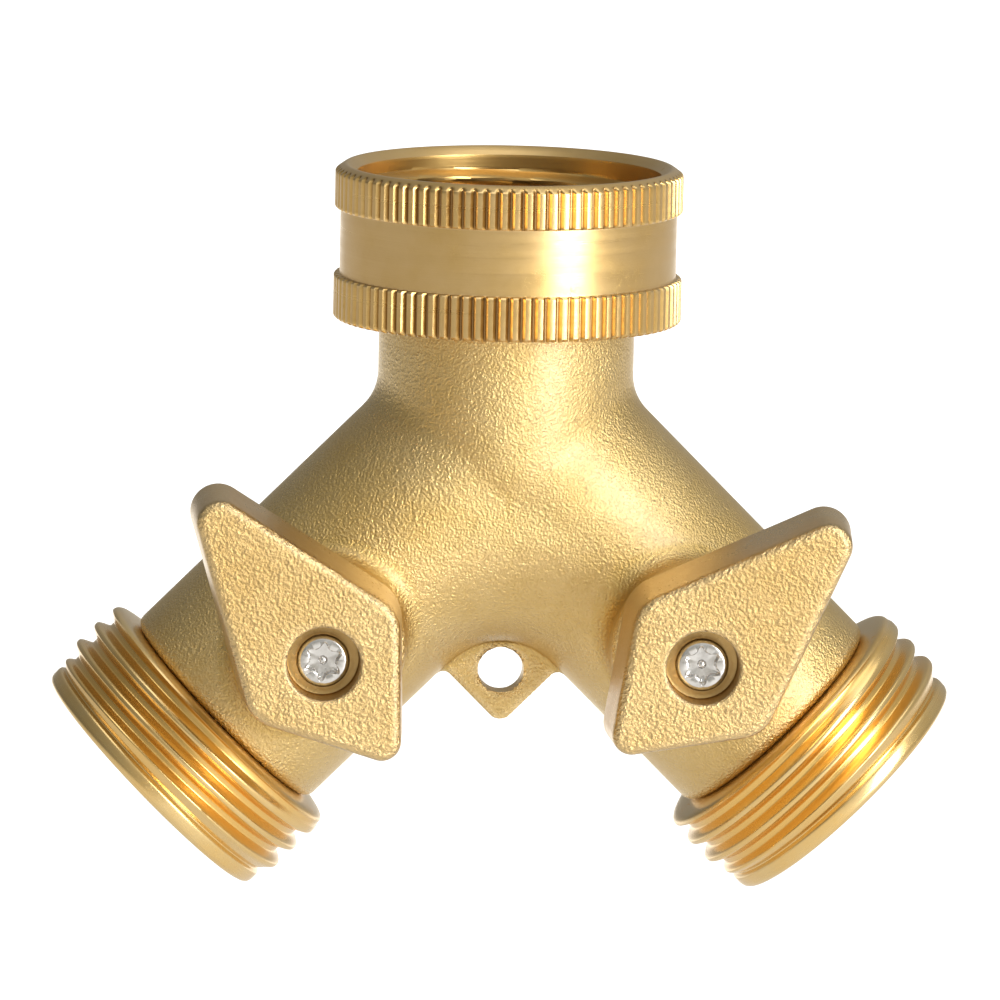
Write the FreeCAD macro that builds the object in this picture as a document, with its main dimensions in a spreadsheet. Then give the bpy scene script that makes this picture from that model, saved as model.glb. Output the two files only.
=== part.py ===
import FreeCAD, Part
import math
import os
import re
import Sketcher
from FreeCAD import Placement, Rotation, Vector

# Two-way garden hose splitter in brass: a forged Y body with a swivel inlet nut and two ball valves.
# Origin: centre of the inlet nut's mouth. +Z points out of the mouth, towards the tap. +X points
# to the right-hand outlet, and the valve handles face -Y. Millimetres and degrees.

SIZES = [
    # forged body
    ("neck_radius", 11.43, "outside of the inlet neck"),
    ("leg_radius", 11.0, "outside of each outlet leg"),
    ("leg_angle", 45, "each leg, measured from straight down"),
    ("junction_depth", 24.68, "mouth of the nut to the point where the three axes meet"),
    ("bend_radius", 17.4, "middle line of the bend that joins the two legs below the junction"),
    ("bend_inset", 0.05, "surface of the bend inside the legs' surface, where it runs into them"),
    ("leg_wall", 2.1, "leg metal outside the socket of an outlet fitting"),
    ("leg_end_round", 1.2, "round on the outer edge of a leg's end"),
    ("valve_distance", 23.65, "junction to the centre of a ball"),
    ("boss_radius", 7.6, "round boss that carries the stem"),
    ("boss_neck", 6.5, "length of the stem's bore, up to the top of the boss"),
    ("boss_round", 0.8, "round on the top edge of the boss"),
    ("boss_fillet", 1.5, "fillet between the boss and its leg"),
    ("spigot_wall", 2.4, "spigot metal outside the waterway of the neck"),
    ("leg_bore", 6.5, "radius of the waterway between junction and valve"),
    ("socket_depth", 4.75, "depth of the socket for an outlet fitting"),
    # hanging tab between the legs
    ("tab_drop", 2.583, "crotch of the legs to the centre of the tab's hole"),
    ("tab_tip", 5.02, "hole to the sharp lowest corner of the tab"),
    ("tab_root", 1.5, "how far the tab runs on into the legs"),
    ("tab_thickness", 3.0, "thickness of the tab"),
    ("tab_round", 1.2, "round on the tab's lowest corner"),
    ("tab_hole", 2.03, "radius of the tab's hole"),
    # swivel nut
    ("nut_height", 13.86, "length of the nut"),
    ("knurl_rise", 0.52, "knurled bands above the smooth band"),
    ("nut_wall", 1.3, "nut metal outside the thread relief, at the smooth band"),
    ("rim_rise", 0.05, "plain rim above the smooth band"),
    ("rim_height", 0.15, "height of the plain rim"),
    ("rim_bevel", 0.42, "bevel from the rim down to the upper knurl"),
    ("upper_knurl", 3.76, "height of the upper knurled band"),
    ("lower_knurl", 3.99, "height of the lower knurled band"),
    ("knurl_teeth", 88, "straight teeth round the nut"),
    ("knurl_depth", 0.42, "depth of a knurl groove"),
    ("knurl_share", 0.74, "share of the knurl's pitch that a groove takes at the outside"),
    ("rim_break", 0.12, "broken edge of the rim"),
    ("foot_break", 0.3, "chamfer round the foot of the nut"),
    ("mouth_radius", 14.3, "inner edge of the mouth's chamfer"),
    ("mouth_chamfer", 0.4, "height of the mouth's chamfer"),
    ("lead_in", 1.9, "mouth to the first thread"),
    ("lip_height", 1.16, "inward lip under the retaining ring"),
    ("lip_clearance", 0.2, "radial clearance of the lip on the spigot"),
    # hose thread, 3/4-11.5 NH
    ("thread_pitch", 2.209, "pitch of both hose threads"),
    ("inner_thread_major", 13.62, "nut thread, radius at the root"),
    ("inner_thread_minor", 12.3, "nut thread, radius at the crest"),
    ("relief_depth", 0.13, "thread relief beyond the root of the nut's thread"),
    ("outer_thread_major", 13.45, "outlet thread, radius at the crest"),
    ("outer_thread_minor", 12.25, "outlet thread, radius at the root"),
    ("thread_flat", 0.32, "half the flat at the bottom of a thread groove"),
    ("thread_flank", 0.62, "axial run of one thread flank"),
    ("inner_thread_entry", 0.2, "start of the nut's thread groove inside its crest"),
    ("outer_thread_entry", 0.3, "start of the outlet's thread groove outside its crest"),
    # inlet spigot, retaining ring and washer
    ("shoulder_width", 1.53, "shoulder of the neck round the turned spigot"),
    ("shoulder_gap", 0.14, "nut to the shoulder of the neck"),
    ("spigot_top", 10.6, "mouth of the nut to the washer's seat"),
    ("ring_wire", 0.7, "radius of the retaining ring's wire"),
    ("ring_gap_angle", 24, "opening of the retaining ring"),
    ("ring_play", 0.05, "play of the ring above the nut's lip"),
    ("groove_depth", 0.8, "depth of the ring's groove"),
    ("groove_ease", 0.02, "gap between a ring and the floor of its groove"),
    ("washer_side_play", 0.75, "washer to the wall of the thread relief"),
    ("washer_ease", 0.5, "the washer's hole beyond the waterway of the neck"),
    ("washer_thickness", 2.3, "thickness of the inlet washer"),
    ("washer_play", 0.3, "washer to the first crest of the nut's thread"),
    # ball valve
    ("ball_radius", 7.0, "radius of the ball"),
    ("ball_bore", 4.5, "radius of the hole through the ball"),
    ("ball_play", 0.3, "gap between the ball and its chamber"),
    ("running_clearance", 0.05, "radial clearance of a running fit"),
    ("seat_web", 1.53, "thickness of a seat at its hole"),
    ("seat_ease", 0.1, "a seat's hole beyond the ball's"),
    ("slot_depth", 1.7, "depth of the ball's drive slot"),
    ("slot_width", 2.0, "width of the ball's drive slot"),
    ("blade_length", 4.8, "length of the stem's blade"),
    ("blade_gap", 0.1, "blade to the floor of the ball's slot"),
    ("stem_radius", 3.0, "shaft of the stem"),
    ("flange_step", 1.2, "the stem's flange beyond its shaft, which keeps the stem in"),
    ("flange_gap", 0.4, "ball to the underside of the flange"),
    ("flange_thickness", 0.8, "thickness of the stem's flange"),
    ("thrust_thickness", 0.6, "thickness of the thrust washer"),
    ("seal_radius", 0.46, "section radius of a stem O-ring"),
    ("seal_groove", 1.3, "width of a stem O-ring's groove"),
    ("first_seal", 1.65, "foot of the stem's bore to the inner O-ring"),
    ("seal_spacing", 2.4, "inner to outer stem O-ring"),
    # handle and its screw
    ("handle_gap", 0.5, "top of the boss to the underside of the handle"),
    ("handle_height", 8.3, "thickness of the handle"),
    ("handle_draft", 3, "draft of the handle's sides"),
    ("handle_tip", 21.2, "axis to the sharp long corner, on the front face"),
    ("handle_heel", 11.6, "axis to the sharp short corner, on the front face"),
    ("handle_half_width", 8.15, "axis to a sharp side corner, on the front face"),
    ("tip_round", 2.4, "round of the long corner"),
    ("heel_round", 2.1, "round of the short corner"),
    ("side_round", 3.6, "round of the two side corners"),
    ("handle_edge", 0.7, "round of the front edge"),
    ("screw_well_radius", 3.25, "well that sinks the screw's head"),
    ("screw_well_depth", 3.4, "depth of that well"),
    ("web_thickness", 0.9, "handle metal under the screw's head"),
    ("drive_half", 2.0, "half the stem's square drive"),
    ("drive_clearance", 0.05, "gap round the square drive"),
    ("drive_play", 0.2, "end of the stem to the handle's web"),
    ("screw_radius", 1.4, "shank of the handle screw"),
    ("screw_grip", 5.4, "length of the handle screw inside the stem"),
    ("tapping_run", 0.3, "tapped hole beyond the end of the screw"),
    ("screw_hole_ease", 0.2, "the handle's hole beyond the screw's shank"),
    ("screw_head_radius", 2.18, "head of the handle screw"),
    ("screw_head_height", 1.75, "height of the screw's head"),
    ("head_corner_in", 0.3, "side of the screw's head to its upper corner"),
    ("head_corner_drop", 0.25, "top of the screw's head to its upper corner"),
    ("head_flat_in", 1.0, "side of the screw's head to its flat top"),
    ("star_reach", 1.6, "screw axis to a point of the star recess"),
    ("star_waist", 1.15, "screw axis to the star between two points"),
    ("star_depth", 0.85, "depth of the star recess"),
    # valve stops
    ("stop_circle", 5.4, "stem axis to the stop pin"),
    ("stop_pin", 0.9, "radius of the stop pin on the boss"),
    ("stop_height", 1.4, "stop pin above the boss"),
    ("stop_clearance", 0.15, "gap between pin and track at either limit"),
    ("track_clearance", 0.25, "gap beside and above the pin in its track"),
    ("left_rest", 8, "left handle, degrees short of closed"),
    # outlet fitting
    ("fitting_length", 9.2, "machined end of the leg to the end of the fitting"),
    ("collar_rise", 2.2, "the fitting's collar beyond the leg that it shuts against"),
    ("collar_height", 1.2, "height of the collar"),
    ("fitting_clearance", 0.05, "radial gap of the fitting in its socket"),
    ("land_radius", 12.8, "plain land at the end of the fitting"),
    ("land_length", 1.9, "length of the land"),
    ("land_chamfer", 0.4, "chamfer of the land's outer edge"),
    ("outlet_bore", 8.5, "radius of the outlet's mouth"),
    ("outlet_depth", 6.5, "depth of the outlet's mouth"),
    ("key_half", 6.0, "half the width across flats of the hexagon socket"),
    ("key_depth", 3.4, "depth of the hexagon socket"),
    ("throat_radius", 4.8, "waterway through the fitting's nose"),
    ("oring_radius", 0.68, "section radius of the fitting's O-ring"),
    ("oring_groove", 1.8, "width of that O-ring's groove"),
    ("oring_setback", 2.8, "machined end of the leg to the O-ring"),
]

FUNCTIONS = {"sin", "cos", "tan", "asin", "sqrt", "deg"}
SAME = 1e-3
LEFT, RIGHT = -1, 1

doc = FreeCAD.newDocument("HoseSplitter")
sheet = doc.addObject("Spreadsheet::Sheet", "Sizes")
for row, (alias, size, note) in enumerate(SIZES, start=1):
    sheet.set(f"A{row}", note)
    sheet.set(f"B{row}", str(size))
    sheet.setAlias(f"B{row}", alias)
doc.recompute()


# ---------------------------------------------------------------- expressions and sketches


def bind(text):
    """Turn size names into references to the sheet: neck_radius becomes Sizes.neck_radius."""
    return re.sub(r"[a-z][a-z_]*", lambda m: m[0] if m[0] in FUNCTIONS else "Sizes." + m[0], text)


def worth(text):
    """The number that an expression of size names has now."""
    return float(sheet.evalExpression(text))


def plane_of(body, role):
    """The origin plane of a body with this role."""
    return next(item for item in body.Origin.OriginFeatures if item.Role == role)


def sketch_on(body, name, role, lift=None, frame=None):
    """A sketch on one of the body's origin planes, lifted along the normal or moved to a frame."""
    sketch = body.newObject("Sketcher::SketchObject", name)
    sketch.AttachmentSupport = (plane_of(body, role), [""])
    sketch.MapMode = "FlatFace"
    if lift:
        sketch.setExpression("AttachmentOffset.Base.z", bind(lift))
    if frame:
        frame(sketch)
    return sketch


def hold_point(sketch, geometry, end, x_text, y_text):
    """Fix one end of a line, or a centre, by two expressions."""
    point = sketch.getPoint(geometry, end)
    for kind, axis, text, now in (("DistanceX", -2, x_text, point.x), ("DistanceY", -1, y_text, point.y)):
        if text == "0":
            sketch.addConstraint(Sketcher.Constraint("PointOnObject", geometry, end, axis))
            continue
        index = sketch.addConstraint(Sketcher.Constraint(kind, -1, 1, geometry, end, now))
        sketch.setExpression(f"Constraints[{index}]", bind(text))


def outline(sketch, corners):
    """A closed outline of straight lines, every corner held by two expressions."""
    points = [Vector(worth(x), worth(y), 0) for x, y in corners]
    first = sketch.GeometryCount
    for start, end in zip(points, points[1:] + points[:1]):
        sketch.addGeometry(Part.LineSegment(start, end))
    count = len(points)
    for index, (x, y) in enumerate(corners):
        after = first + (index + 1) % count
        sketch.addConstraint(Sketcher.Constraint("Coincident", first + index, 2, after, 1))
        hold_point(sketch, first + index, 1, x, y)


def circle(sketch, radius, x="0", y="0"):
    """A circle with its centre and radius held by expressions."""
    index = sketch.addGeometry(Part.Circle(Vector(worth(x), worth(y), 0), Vector(0, 0, 1), worth(radius)))
    if x == "0" and y == "0":
        sketch.addConstraint(Sketcher.Constraint("Coincident", index, 3, -1, 1))
    else:
        hold_point(sketch, index, 3, x, y)
    size = sketch.addConstraint(Sketcher.Constraint("Radius", index, worth(radius)))
    sketch.setExpression(f"Constraints[{size}]", bind(radius))


# ---------------------------------------------------------------- features


def set_size(feature, name, text):
    """Give a property its value now, and bind it to the sheet."""
    setattr(feature, name, worth(text))
    feature.setExpression(name, bind(text))


def pad(body, sketch, length, midplane=False, reverse=False, taper=None):
    """Raise a sketch into a solid."""
    feature = body.newObject("PartDesign::Pad", sketch.Name + "_pad")
    feature.Profile = sketch
    set_size(feature, "Length", length)
    feature.SideType = "Symmetric" if midplane else "One side"
    feature.Reversed = reverse
    if taper:
        set_size(feature, "TaperAngle", taper)
    doc.recompute()
    return feature


def cut(body, feature):
    """Recompute a cutting feature and make sure that it takes material away."""
    before = body.Tip.Shape.Volume if body.Tip is not feature else feature.BaseFeature.Shape.Volume
    doc.recompute()
    if not feature.Shape.Volume < before - SAME:
        raise RuntimeError(f"{feature.Name} cuts nothing")
    return feature


def pocket(body, sketch, depth=None, reverse=False, midplane=False):
    """Sink a sketch into the solid, to a depth or right through."""
    feature = body.newObject("PartDesign::Pocket", sketch.Name + "_pocket")
    feature.Profile = sketch
    if depth:
        set_size(feature, "Length", depth)
    else:
        feature.Type = "ThroughAll"
    feature.SideType = "Symmetric" if midplane else "One side"
    feature.Reversed = reverse
    return cut(body, feature)


def revolve(body, sketch, angle=None, midplane=False, axis="V_Axis"):
    """Turn a sketch about one of its own axes."""
    feature = body.newObject("PartDesign::Revolution", sketch.Name + "_turned")
    feature.Profile = sketch
    feature.ReferenceAxis = (sketch, [axis])
    feature.Angle = 360
    if angle:
        set_size(feature, "Angle", angle)
    feature.Midplane = midplane
    doc.recompute()
    return feature


def thread_groove(body, mouth, floor, start, height):
    """Cut a helical groove, wide at its mouth's radius and narrow at its floor's, from a start upwards."""
    sketch = sketch_on(body, body.Name + "_thread", "XZ_Plane")
    corners = [
        (mouth, f"{start} - {GROOVE_HALF}"),
        (mouth, f"{start} + {GROOVE_HALF}"),
        (floor, f"{start} + thread_flat"),
        (floor, f"{start} - thread_flat"),
    ]
    outline(sketch, corners)
    feature = body.newObject("PartDesign::SubtractiveHelix", body.Name + "_thread_groove")
    feature.Profile = sketch
    feature.ReferenceAxis = (sketch, ["V_Axis"])
    feature.Mode = "pitch-height-angle"
    set_size(feature, "Pitch", "thread_pitch")
    set_size(feature, "Height", height)
    return cut(body, feature)


def polar(body, feature, count):
    """Repeat a feature round the body's Z axis."""
    pattern = body.newObject("PartDesign::PolarPattern", feature.Name + "_ring")
    pattern.Originals = [feature]
    pattern.Axis = (feature.Profile[0], ["N_Axis"])
    pattern.Angle = 360
    pattern.Occurrences = round(worth(count))
    pattern.setExpression("Occurrences", bind(count))
    body.Tip = pattern
    doc.recompute()
    return pattern


def round_edges(body, name, radius, chosen):
    """Fillet the edges of the tip that the test picks out."""
    base = body.Tip
    names = [f"Edge{i}" for i, edge in enumerate(base.Shape.Edges, start=1) if chosen(edge)]
    if not names:
        raise RuntimeError(f"{name} found no edge")
    feature = body.newObject("PartDesign::Fillet", name)
    feature.Base = (base, names)
    set_size(feature, "Radius", radius)
    doc.recompute()
    return feature


def new_body(label):
    """An empty body whose Label is the sub-part's name."""
    body = doc.addObject("PartDesign::Body", label)
    body.Label = label
    return body


def near(first, second):
    """Whether two lengths are the same."""
    return abs(first - second) < SAME


# ---------------------------------------------------------------- frames

# Leg frame: origin at the junction, Z out along the leg, Y as the assembly's.
# Valve frame: origin at the ball's centre, X to the right, Y up, Z out towards the front (-Y).
# Turning pieces lie in the valve frame, turned about Z by the handle's angle.

FACE_FRONT = Rotation(Vector(1, 0, 0), 90)


def side_name(side):
    return "left" if side == LEFT else "right"


def leg_x(side, distance):
    """X of a point at this distance along a leg."""
    return f"({side}) * ({distance}) * sin(leg_angle)"


def leg_z(distance):
    """Z of a point at this distance along a leg."""
    return f"0 - junction_depth - ({distance}) * cos(leg_angle)"


def leg_turn(side):
    return Rotation(Vector(0, 1, 0), side * (180 - worth("leg_angle")))


def handle_angle(side):
    """Rest angle of a handle, anticlockwise from the right as the front is seen."""
    return worth("180 - leg_angle - left_rest" if side == LEFT else "leg_angle")


def place(body, x, z, rotation):
    """Put a sub-part at a point of the middle plane; its position follows the sheet."""
    body.Placement = Placement(Vector(worth(x), 0, worth(z)), rotation)
    body.setExpression("Placement.Base.x", bind(x))
    body.setExpression("Placement.Base.z", bind(z))


def place_on_leg(body, side):
    place(body, "0", "0 - junction_depth", leg_turn(side))


def place_in_valve(body, side, turned=True):
    turn = Rotation(Vector(0, 0, 1), handle_angle(side) if turned else 0)
    place(body, leg_x(side, "valve_distance"), leg_z("valve_distance"), FACE_FRONT.multiply(turn))


def on_leg(side, distance):
    """Move a sketch of an XY plane onto a leg, square to it and facing outwards."""

    def move(sketch):
        here = Vector(worth(leg_x(side, distance)), 0, worth(leg_z(distance)))
        sketch.AttachmentOffset = Placement(here, leg_turn(side))
        sketch.setExpression("AttachmentOffset.Base.x", bind(leg_x(side, distance)))
        sketch.setExpression("AttachmentOffset.Base.z", bind(leg_z(distance)))

    return move


def at_bend_centre(sketch):
    """Lower a sketch of the YZ plane to the middle of the bend below the junction."""
    sketch.AttachmentOffset = Placement(Vector(0, worth(BEND_CENTRE_Z), 0), Rotation())
    sketch.setExpression("AttachmentOffset.Base.y", bind(BEND_CENTRE_Z))


# ---------------------------------------------------------------- derived places

# Inlet: heights on the nut's axis and radii.
SPIGOT = "(neck_radius - shoulder_width)"
NECK_BORE = f"({SPIGOT} - spigot_wall)"
SHOULDER = "(0 - nut_height - shoulder_gap)"
LIP_TOP = "(lip_height - nut_height)"
GROOVE_TOP = f"({LIP_TOP} + 2 * ring_wire + 2 * ring_play)"
RELIEF_TOP = "(washer_thickness - spigot_top + washer_play)"
RELIEF_RADIUS = "(inner_thread_major + relief_depth)"
BAND_RADIUS = f"({RELIEF_RADIUS} + nut_wall)"
RIM_RADIUS = f"({BAND_RADIUS} + rim_rise)"
KNURL_RADIUS = f"({BAND_RADIUS} + knurl_rise)"
STAR_STEP = 30
# Valve: distances from the ball's centre, along the leg or along the stem.
CHAMBER = "(ball_radius + ball_play)"
FLANGE_RADIUS = "(stem_radius + flange_step)"
SEAT_BORE = "(ball_bore + seat_ease)"
SEAT_CONE = "((ball_radius + running_clearance) * sqrt(2))"
SEAT_BACK = f"({SEAT_CONE} - {SEAT_BORE} + seat_web)"
FLANGE_FOOT = "(ball_radius + flange_gap)"
FLANGE_TOP = f"({FLANGE_FOOT} + flange_thickness)"
POCKET_TOP = f"({FLANGE_TOP} + thrust_thickness + running_clearance)"
BOSS_TOP = f"({POCKET_TOP} + boss_neck)"
FIRST_SEAL = f"({POCKET_TOP} + first_seal)"
HANDLE_FOOT = f"({BOSS_TOP} + handle_gap)"
HANDLE_FACE = f"({HANDLE_FOOT} + handle_height)"
WELL_FLOOR = f"({HANDLE_FACE} - screw_well_depth)"
WEB_FOOT = f"({WELL_FLOOR} - web_thickness)"
# Outlet: distances from the junction, along the leg.
SOCKET_FLOOR = f"(valve_distance + {SEAT_BACK})"
LEG_LENGTH = f"({SOCKET_FLOOR} + socket_depth)"
SOCKET_RADIUS = "(leg_radius - leg_wall)"
FITTING_END = f"({LEG_LENGTH} + fitting_length)"
BEND_CENTRE_Z = "(0 - junction_depth - bend_radius / sin(leg_angle))"
TAB_HOLE_Z = f"({BEND_CENTRE_Z} + bend_radius - leg_radius - tab_drop)"
GROOVE_HALF = "(thread_flat + thread_flank)"

# ---------------------------------------------------------------- forged body


def make_body():
    body = new_body("body")
    neck = sketch_on(body, "neck", "XZ_Plane")
    groove_wall = f"{SPIGOT} - groove_depth"
    corners = [
        ("0", "0 - junction_depth"),
        ("neck_radius", "0 - junction_depth"),
        ("neck_radius", SHOULDER),
        (SPIGOT, SHOULDER),
        (SPIGOT, LIP_TOP),
        (groove_wall, LIP_TOP),
        (groove_wall, GROOVE_TOP),
        (SPIGOT, GROOVE_TOP),
        (SPIGOT, "0 - spigot_top"),
        ("0", "0 - spigot_top"),
    ]
    outline(neck, corners)
    revolve(body, neck)
    for side in (LEFT, RIGHT):
        name = side_name(side)
        leg = sketch_on(body, name + "_leg", "XY_Plane", frame=on_leg(side, "0"))
        circle(leg, "leg_radius")
        pad(body, leg, LEG_LENGTH)
    bend = sketch_on(body, "bend", "YZ_Plane", frame=at_bend_centre)
    circle(bend, "leg_radius - bend_inset", "0", "bend_radius")
    revolve(body, bend, "180 - 2 * leg_angle", midplane=True, axis="H_Axis")
    round_edges(body, "leg_end_rounds", "leg_end_round", is_leg_end)
    for side in (LEFT, RIGHT):
        boss = sketch_on(body, side_name(side) + "_boss", "XZ_Plane")
        circle(boss, "boss_radius", leg_x(side, "valve_distance"), leg_z("valve_distance"))
        pad(body, boss, BOSS_TOP)
    round_edges(body, "boss_fillets", "boss_fillet", is_boss_foot)
    round_edges(body, "boss_rounds", "boss_round", is_boss_top)
    tab = sketch_on(body, "tab", "XZ_Plane")
    corners = [
        ("0", f"{TAB_HOLE_Z} - tab_tip"),
        ("tab_tip + tab_root", f"{TAB_HOLE_Z} + tab_root"),
        ("0", f"{TAB_HOLE_Z} + tab_tip + 2 * tab_root"),
        ("0 - tab_tip - tab_root", f"{TAB_HOLE_Z} + tab_root"),
    ]
    outline(tab, corners)
    pad(body, tab, "tab_thickness", midplane=True)
    round_edges(body, "tab_corner", "tab_round", is_tab_foot)
    hole = sketch_on(body, "tab_hole_sketch", "XZ_Plane")
    circle(hole, "tab_hole", "0", TAB_HOLE_Z)
    pocket(body, hole, "2 * tab_thickness", midplane=True)
    for side in (LEFT, RIGHT):
        stop = sketch_on(body, side_name(side) + "_stop", "XZ_Plane", lift=f"{BOSS_TOP} - 0.5 * stop_height")
        lug_x = f"{leg_x(side, 'valve_distance')} + stop_circle * sin(({side}) * (leg_angle - 45))"
        lug_z = f"{leg_z('valve_distance')} - stop_circle * cos(leg_angle - 45)"
        circle(stop, "stop_pin", lug_x, lug_z)
        pad(body, stop, "1.5 * stop_height")
    drill_body(body)
    return body


def is_leg_end(edge):
    """The outer circle at the machined end of a leg."""
    curve = edge.Curve
    if not isinstance(curve, Part.Circle) or not near(curve.Radius, worth("leg_radius")):
        return False
    return near(abs(curve.Center.x), worth(f"{LEG_LENGTH} * sin(leg_angle)"))


def is_boss_foot(edge):
    """Where a boss stands on its leg: edges that keep the boss's radius from the stem's axis."""
    middle = edge.valueAt((edge.FirstParameter + edge.LastParameter) / 2)
    points = [vertex.Point for vertex in edge.Vertexes] + [middle]
    stem_x, stem_z = worth(leg_x(RIGHT, "valve_distance")), worth(leg_z("valve_distance"))
    return all(
        near(math.hypot(abs(point.x) - stem_x, point.z - stem_z), worth("boss_radius"))
        and -worth(BOSS_TOP) + SAME < point.y < 0
        for point in points
    )


def is_boss_top(edge):
    return all(near(vertex.Y, -worth(BOSS_TOP)) for vertex in edge.Vertexes)


def is_tab_foot(edge):
    """The upright edge at the tab's lowest corner."""
    foot = worth(f"{TAB_HOLE_Z} - tab_tip")
    return len(edge.Vertexes) == 2 and all(near(vertex.Z, foot) for vertex in edge.Vertexes)


def drill_body(body):
    """The waterways, valve chambers, outlet sockets and stem bores."""
    inlet = sketch_on(body, "inlet_bore", "XY_Plane")
    circle(inlet, NECK_BORE)
    pocket(body, inlet, "junction_depth")
    for side in (LEFT, RIGHT):
        name = side_name(side)
        drills = (
            ("waterway", "leg_bore", "0", LEG_LENGTH),
            ("chamber", CHAMBER, f"valve_distance - {SEAT_BACK}", LEG_LENGTH),
            ("socket", SOCKET_RADIUS, SOCKET_FLOOR, LEG_LENGTH),
        )
        for title, radius, floor, depth in drills:
            sketch = sketch_on(body, f"{name}_{title}", "XY_Plane", frame=on_leg(side, floor))
            circle(sketch, radius)
            pocket(body, sketch, depth, reverse=True)
        stem_drills = (
            ("flange_bore", f"{FLANGE_RADIUS} + 2 * running_clearance", POCKET_TOP),
            ("stem_bore", "stem_radius + running_clearance", BOSS_TOP),
        )
        for title, radius, depth in stem_drills:
            sketch = sketch_on(body, f"{name}_{title}", "XZ_Plane")
            circle(sketch, radius, leg_x(side, "valve_distance"), leg_z("valve_distance"))
            pocket(body, sketch, depth, reverse=True)


# ---------------------------------------------------------------- inlet


def make_nut():
    nut = new_body("swivel_nut")
    profile = sketch_on(nut, "nut_profile", "XZ_Plane")
    rim_foot = "0 - rim_height"
    upper_foot = "0 - rim_height - upper_knurl"
    lower_top = "lower_knurl - nut_height"
    lip_bore = f"{SPIGOT} + lip_clearance"
    corners = [
        (f"{RIM_RADIUS} - rim_break", "0"),
        (RIM_RADIUS, "0 - rim_break"),
        (RIM_RADIUS, rim_foot),
        (KNURL_RADIUS, f"{rim_foot} - rim_bevel"),
        (KNURL_RADIUS, upper_foot),
        (BAND_RADIUS, upper_foot),
        (BAND_RADIUS, lower_top),
        (KNURL_RADIUS, lower_top),
        (KNURL_RADIUS, "foot_break - nut_height"),
        (f"{KNURL_RADIUS} - foot_break", "0 - nut_height"),
        (lip_bore, "0 - nut_height"),
        (lip_bore, LIP_TOP),
        (RELIEF_RADIUS, LIP_TOP),
        (RELIEF_RADIUS, RELIEF_TOP),
        ("inner_thread_minor", RELIEF_TOP),
        ("inner_thread_minor", "0 - lead_in"),
        ("inner_thread_major", "0 - lead_in"),
        ("inner_thread_major", "0 - mouth_chamfer"),
        ("mouth_radius", "0"),
    ]
    outline(profile, corners)
    revolve(nut, profile)
    start = f"({RELIEF_TOP} - {GROOVE_HALF})"
    height = f"0 - lead_in + {GROOVE_HALF} - {start}"
    thread_groove(nut, "inner_thread_minor - inner_thread_entry", "inner_thread_major", start, height)
    cut_knurls(nut)
    return nut


def cut_knurls(nut):
    """Straight grooves that cross both raised bands and stay clear of the smooth one."""
    tooth = sketch_on(nut, "knurl_groove", "XY_Plane")
    half = f"({KNURL_RADIUS} * sin(180 / knurl_teeth) * knurl_share)"
    root = f"{KNURL_RADIUS} - knurl_depth"
    corners = [
        (root, "0"),
        (f"{KNURL_RADIUS} + knurl_depth", f"0 - 2 * {half}"),
        (f"{KNURL_RADIUS} + knurl_depth", f"2 * {half}"),
    ]
    outline(tooth, corners)
    groove = pocket(nut, tooth, "2 * nut_height")
    polar(nut, groove, "knurl_teeth")


def make_ring():
    ring = new_body("nut_retaining_ring")
    wire = sketch_on(ring, "wire", "XZ_Plane")
    centre = f"{SPIGOT} - groove_depth + ring_wire + groove_ease"
    circle(wire, "ring_wire", centre, f"{LIP_TOP} + ring_play + ring_wire")
    revolve(ring, wire, "360 - ring_gap_angle", midplane=True)
    return ring


def make_washer():
    washer = new_body("inlet_washer")
    section = sketch_on(washer, "washer_section", "XZ_Plane")
    seat, top = "0 - spigot_top", "washer_thickness - spigot_top"
    rim = f"{RELIEF_RADIUS} - washer_side_play"
    hole = f"{NECK_BORE} + washer_ease"
    corners = [
        (hole, seat),
        (rim, seat),
        (rim, top),
        (hole, top),
    ]
    outline(section, corners)
    revolve(washer, section)
    return washer


# ---------------------------------------------------------------- ball valves


def make_ball(side):
    ball = new_body(side_name(side) + "_ball")
    sphere = ball.newObject("PartDesign::AdditiveSphere", ball.Name + "_sphere")
    set_size(sphere, "Radius", "ball_radius")
    doc.recompute()
    bore = sketch_on(ball, ball.Name + "_bore", "YZ_Plane")
    circle(bore, "ball_bore")
    pocket(ball, bore, "3 * ball_radius", midplane=True)
    slot = sketch_on(ball, ball.Name + "_slot", "XZ_Plane")
    half = "slot_width / 2"
    floor = "ball_radius - slot_depth"
    corners = [
        (f"0 - {half}", floor),
        (half, floor),
        (half, "ball_radius + slot_depth"),
        (f"0 - {half}", "ball_radius + slot_depth"),
    ]
    outline(slot, corners)
    pocket(ball, slot, "3 * ball_radius", midplane=True)
    place_in_valve(ball, side)
    return ball


def make_seat(side, where, direction):
    """A PTFE ring with a 45 degree face that the ball runs against."""
    seat = new_body(f"{side_name(side)}_{where}_seat")
    section = sketch_on(seat, seat.Name + "_section", "XZ_Plane")
    rim = f"({CHAMBER} - running_clearance)"
    back = f"valve_distance + ({direction}) * {SEAT_BACK}"
    corners = [
        (SEAT_BORE, f"valve_distance + ({direction}) * ({SEAT_CONE} - {SEAT_BORE})"),
        (rim, f"valve_distance + ({direction}) * ({SEAT_CONE} - {rim})"),
        (rim, back),
        (SEAT_BORE, back),
    ]
    outline(section, corners)
    revolve(seat, section)
    place_on_leg(seat, side)
    return seat


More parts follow.
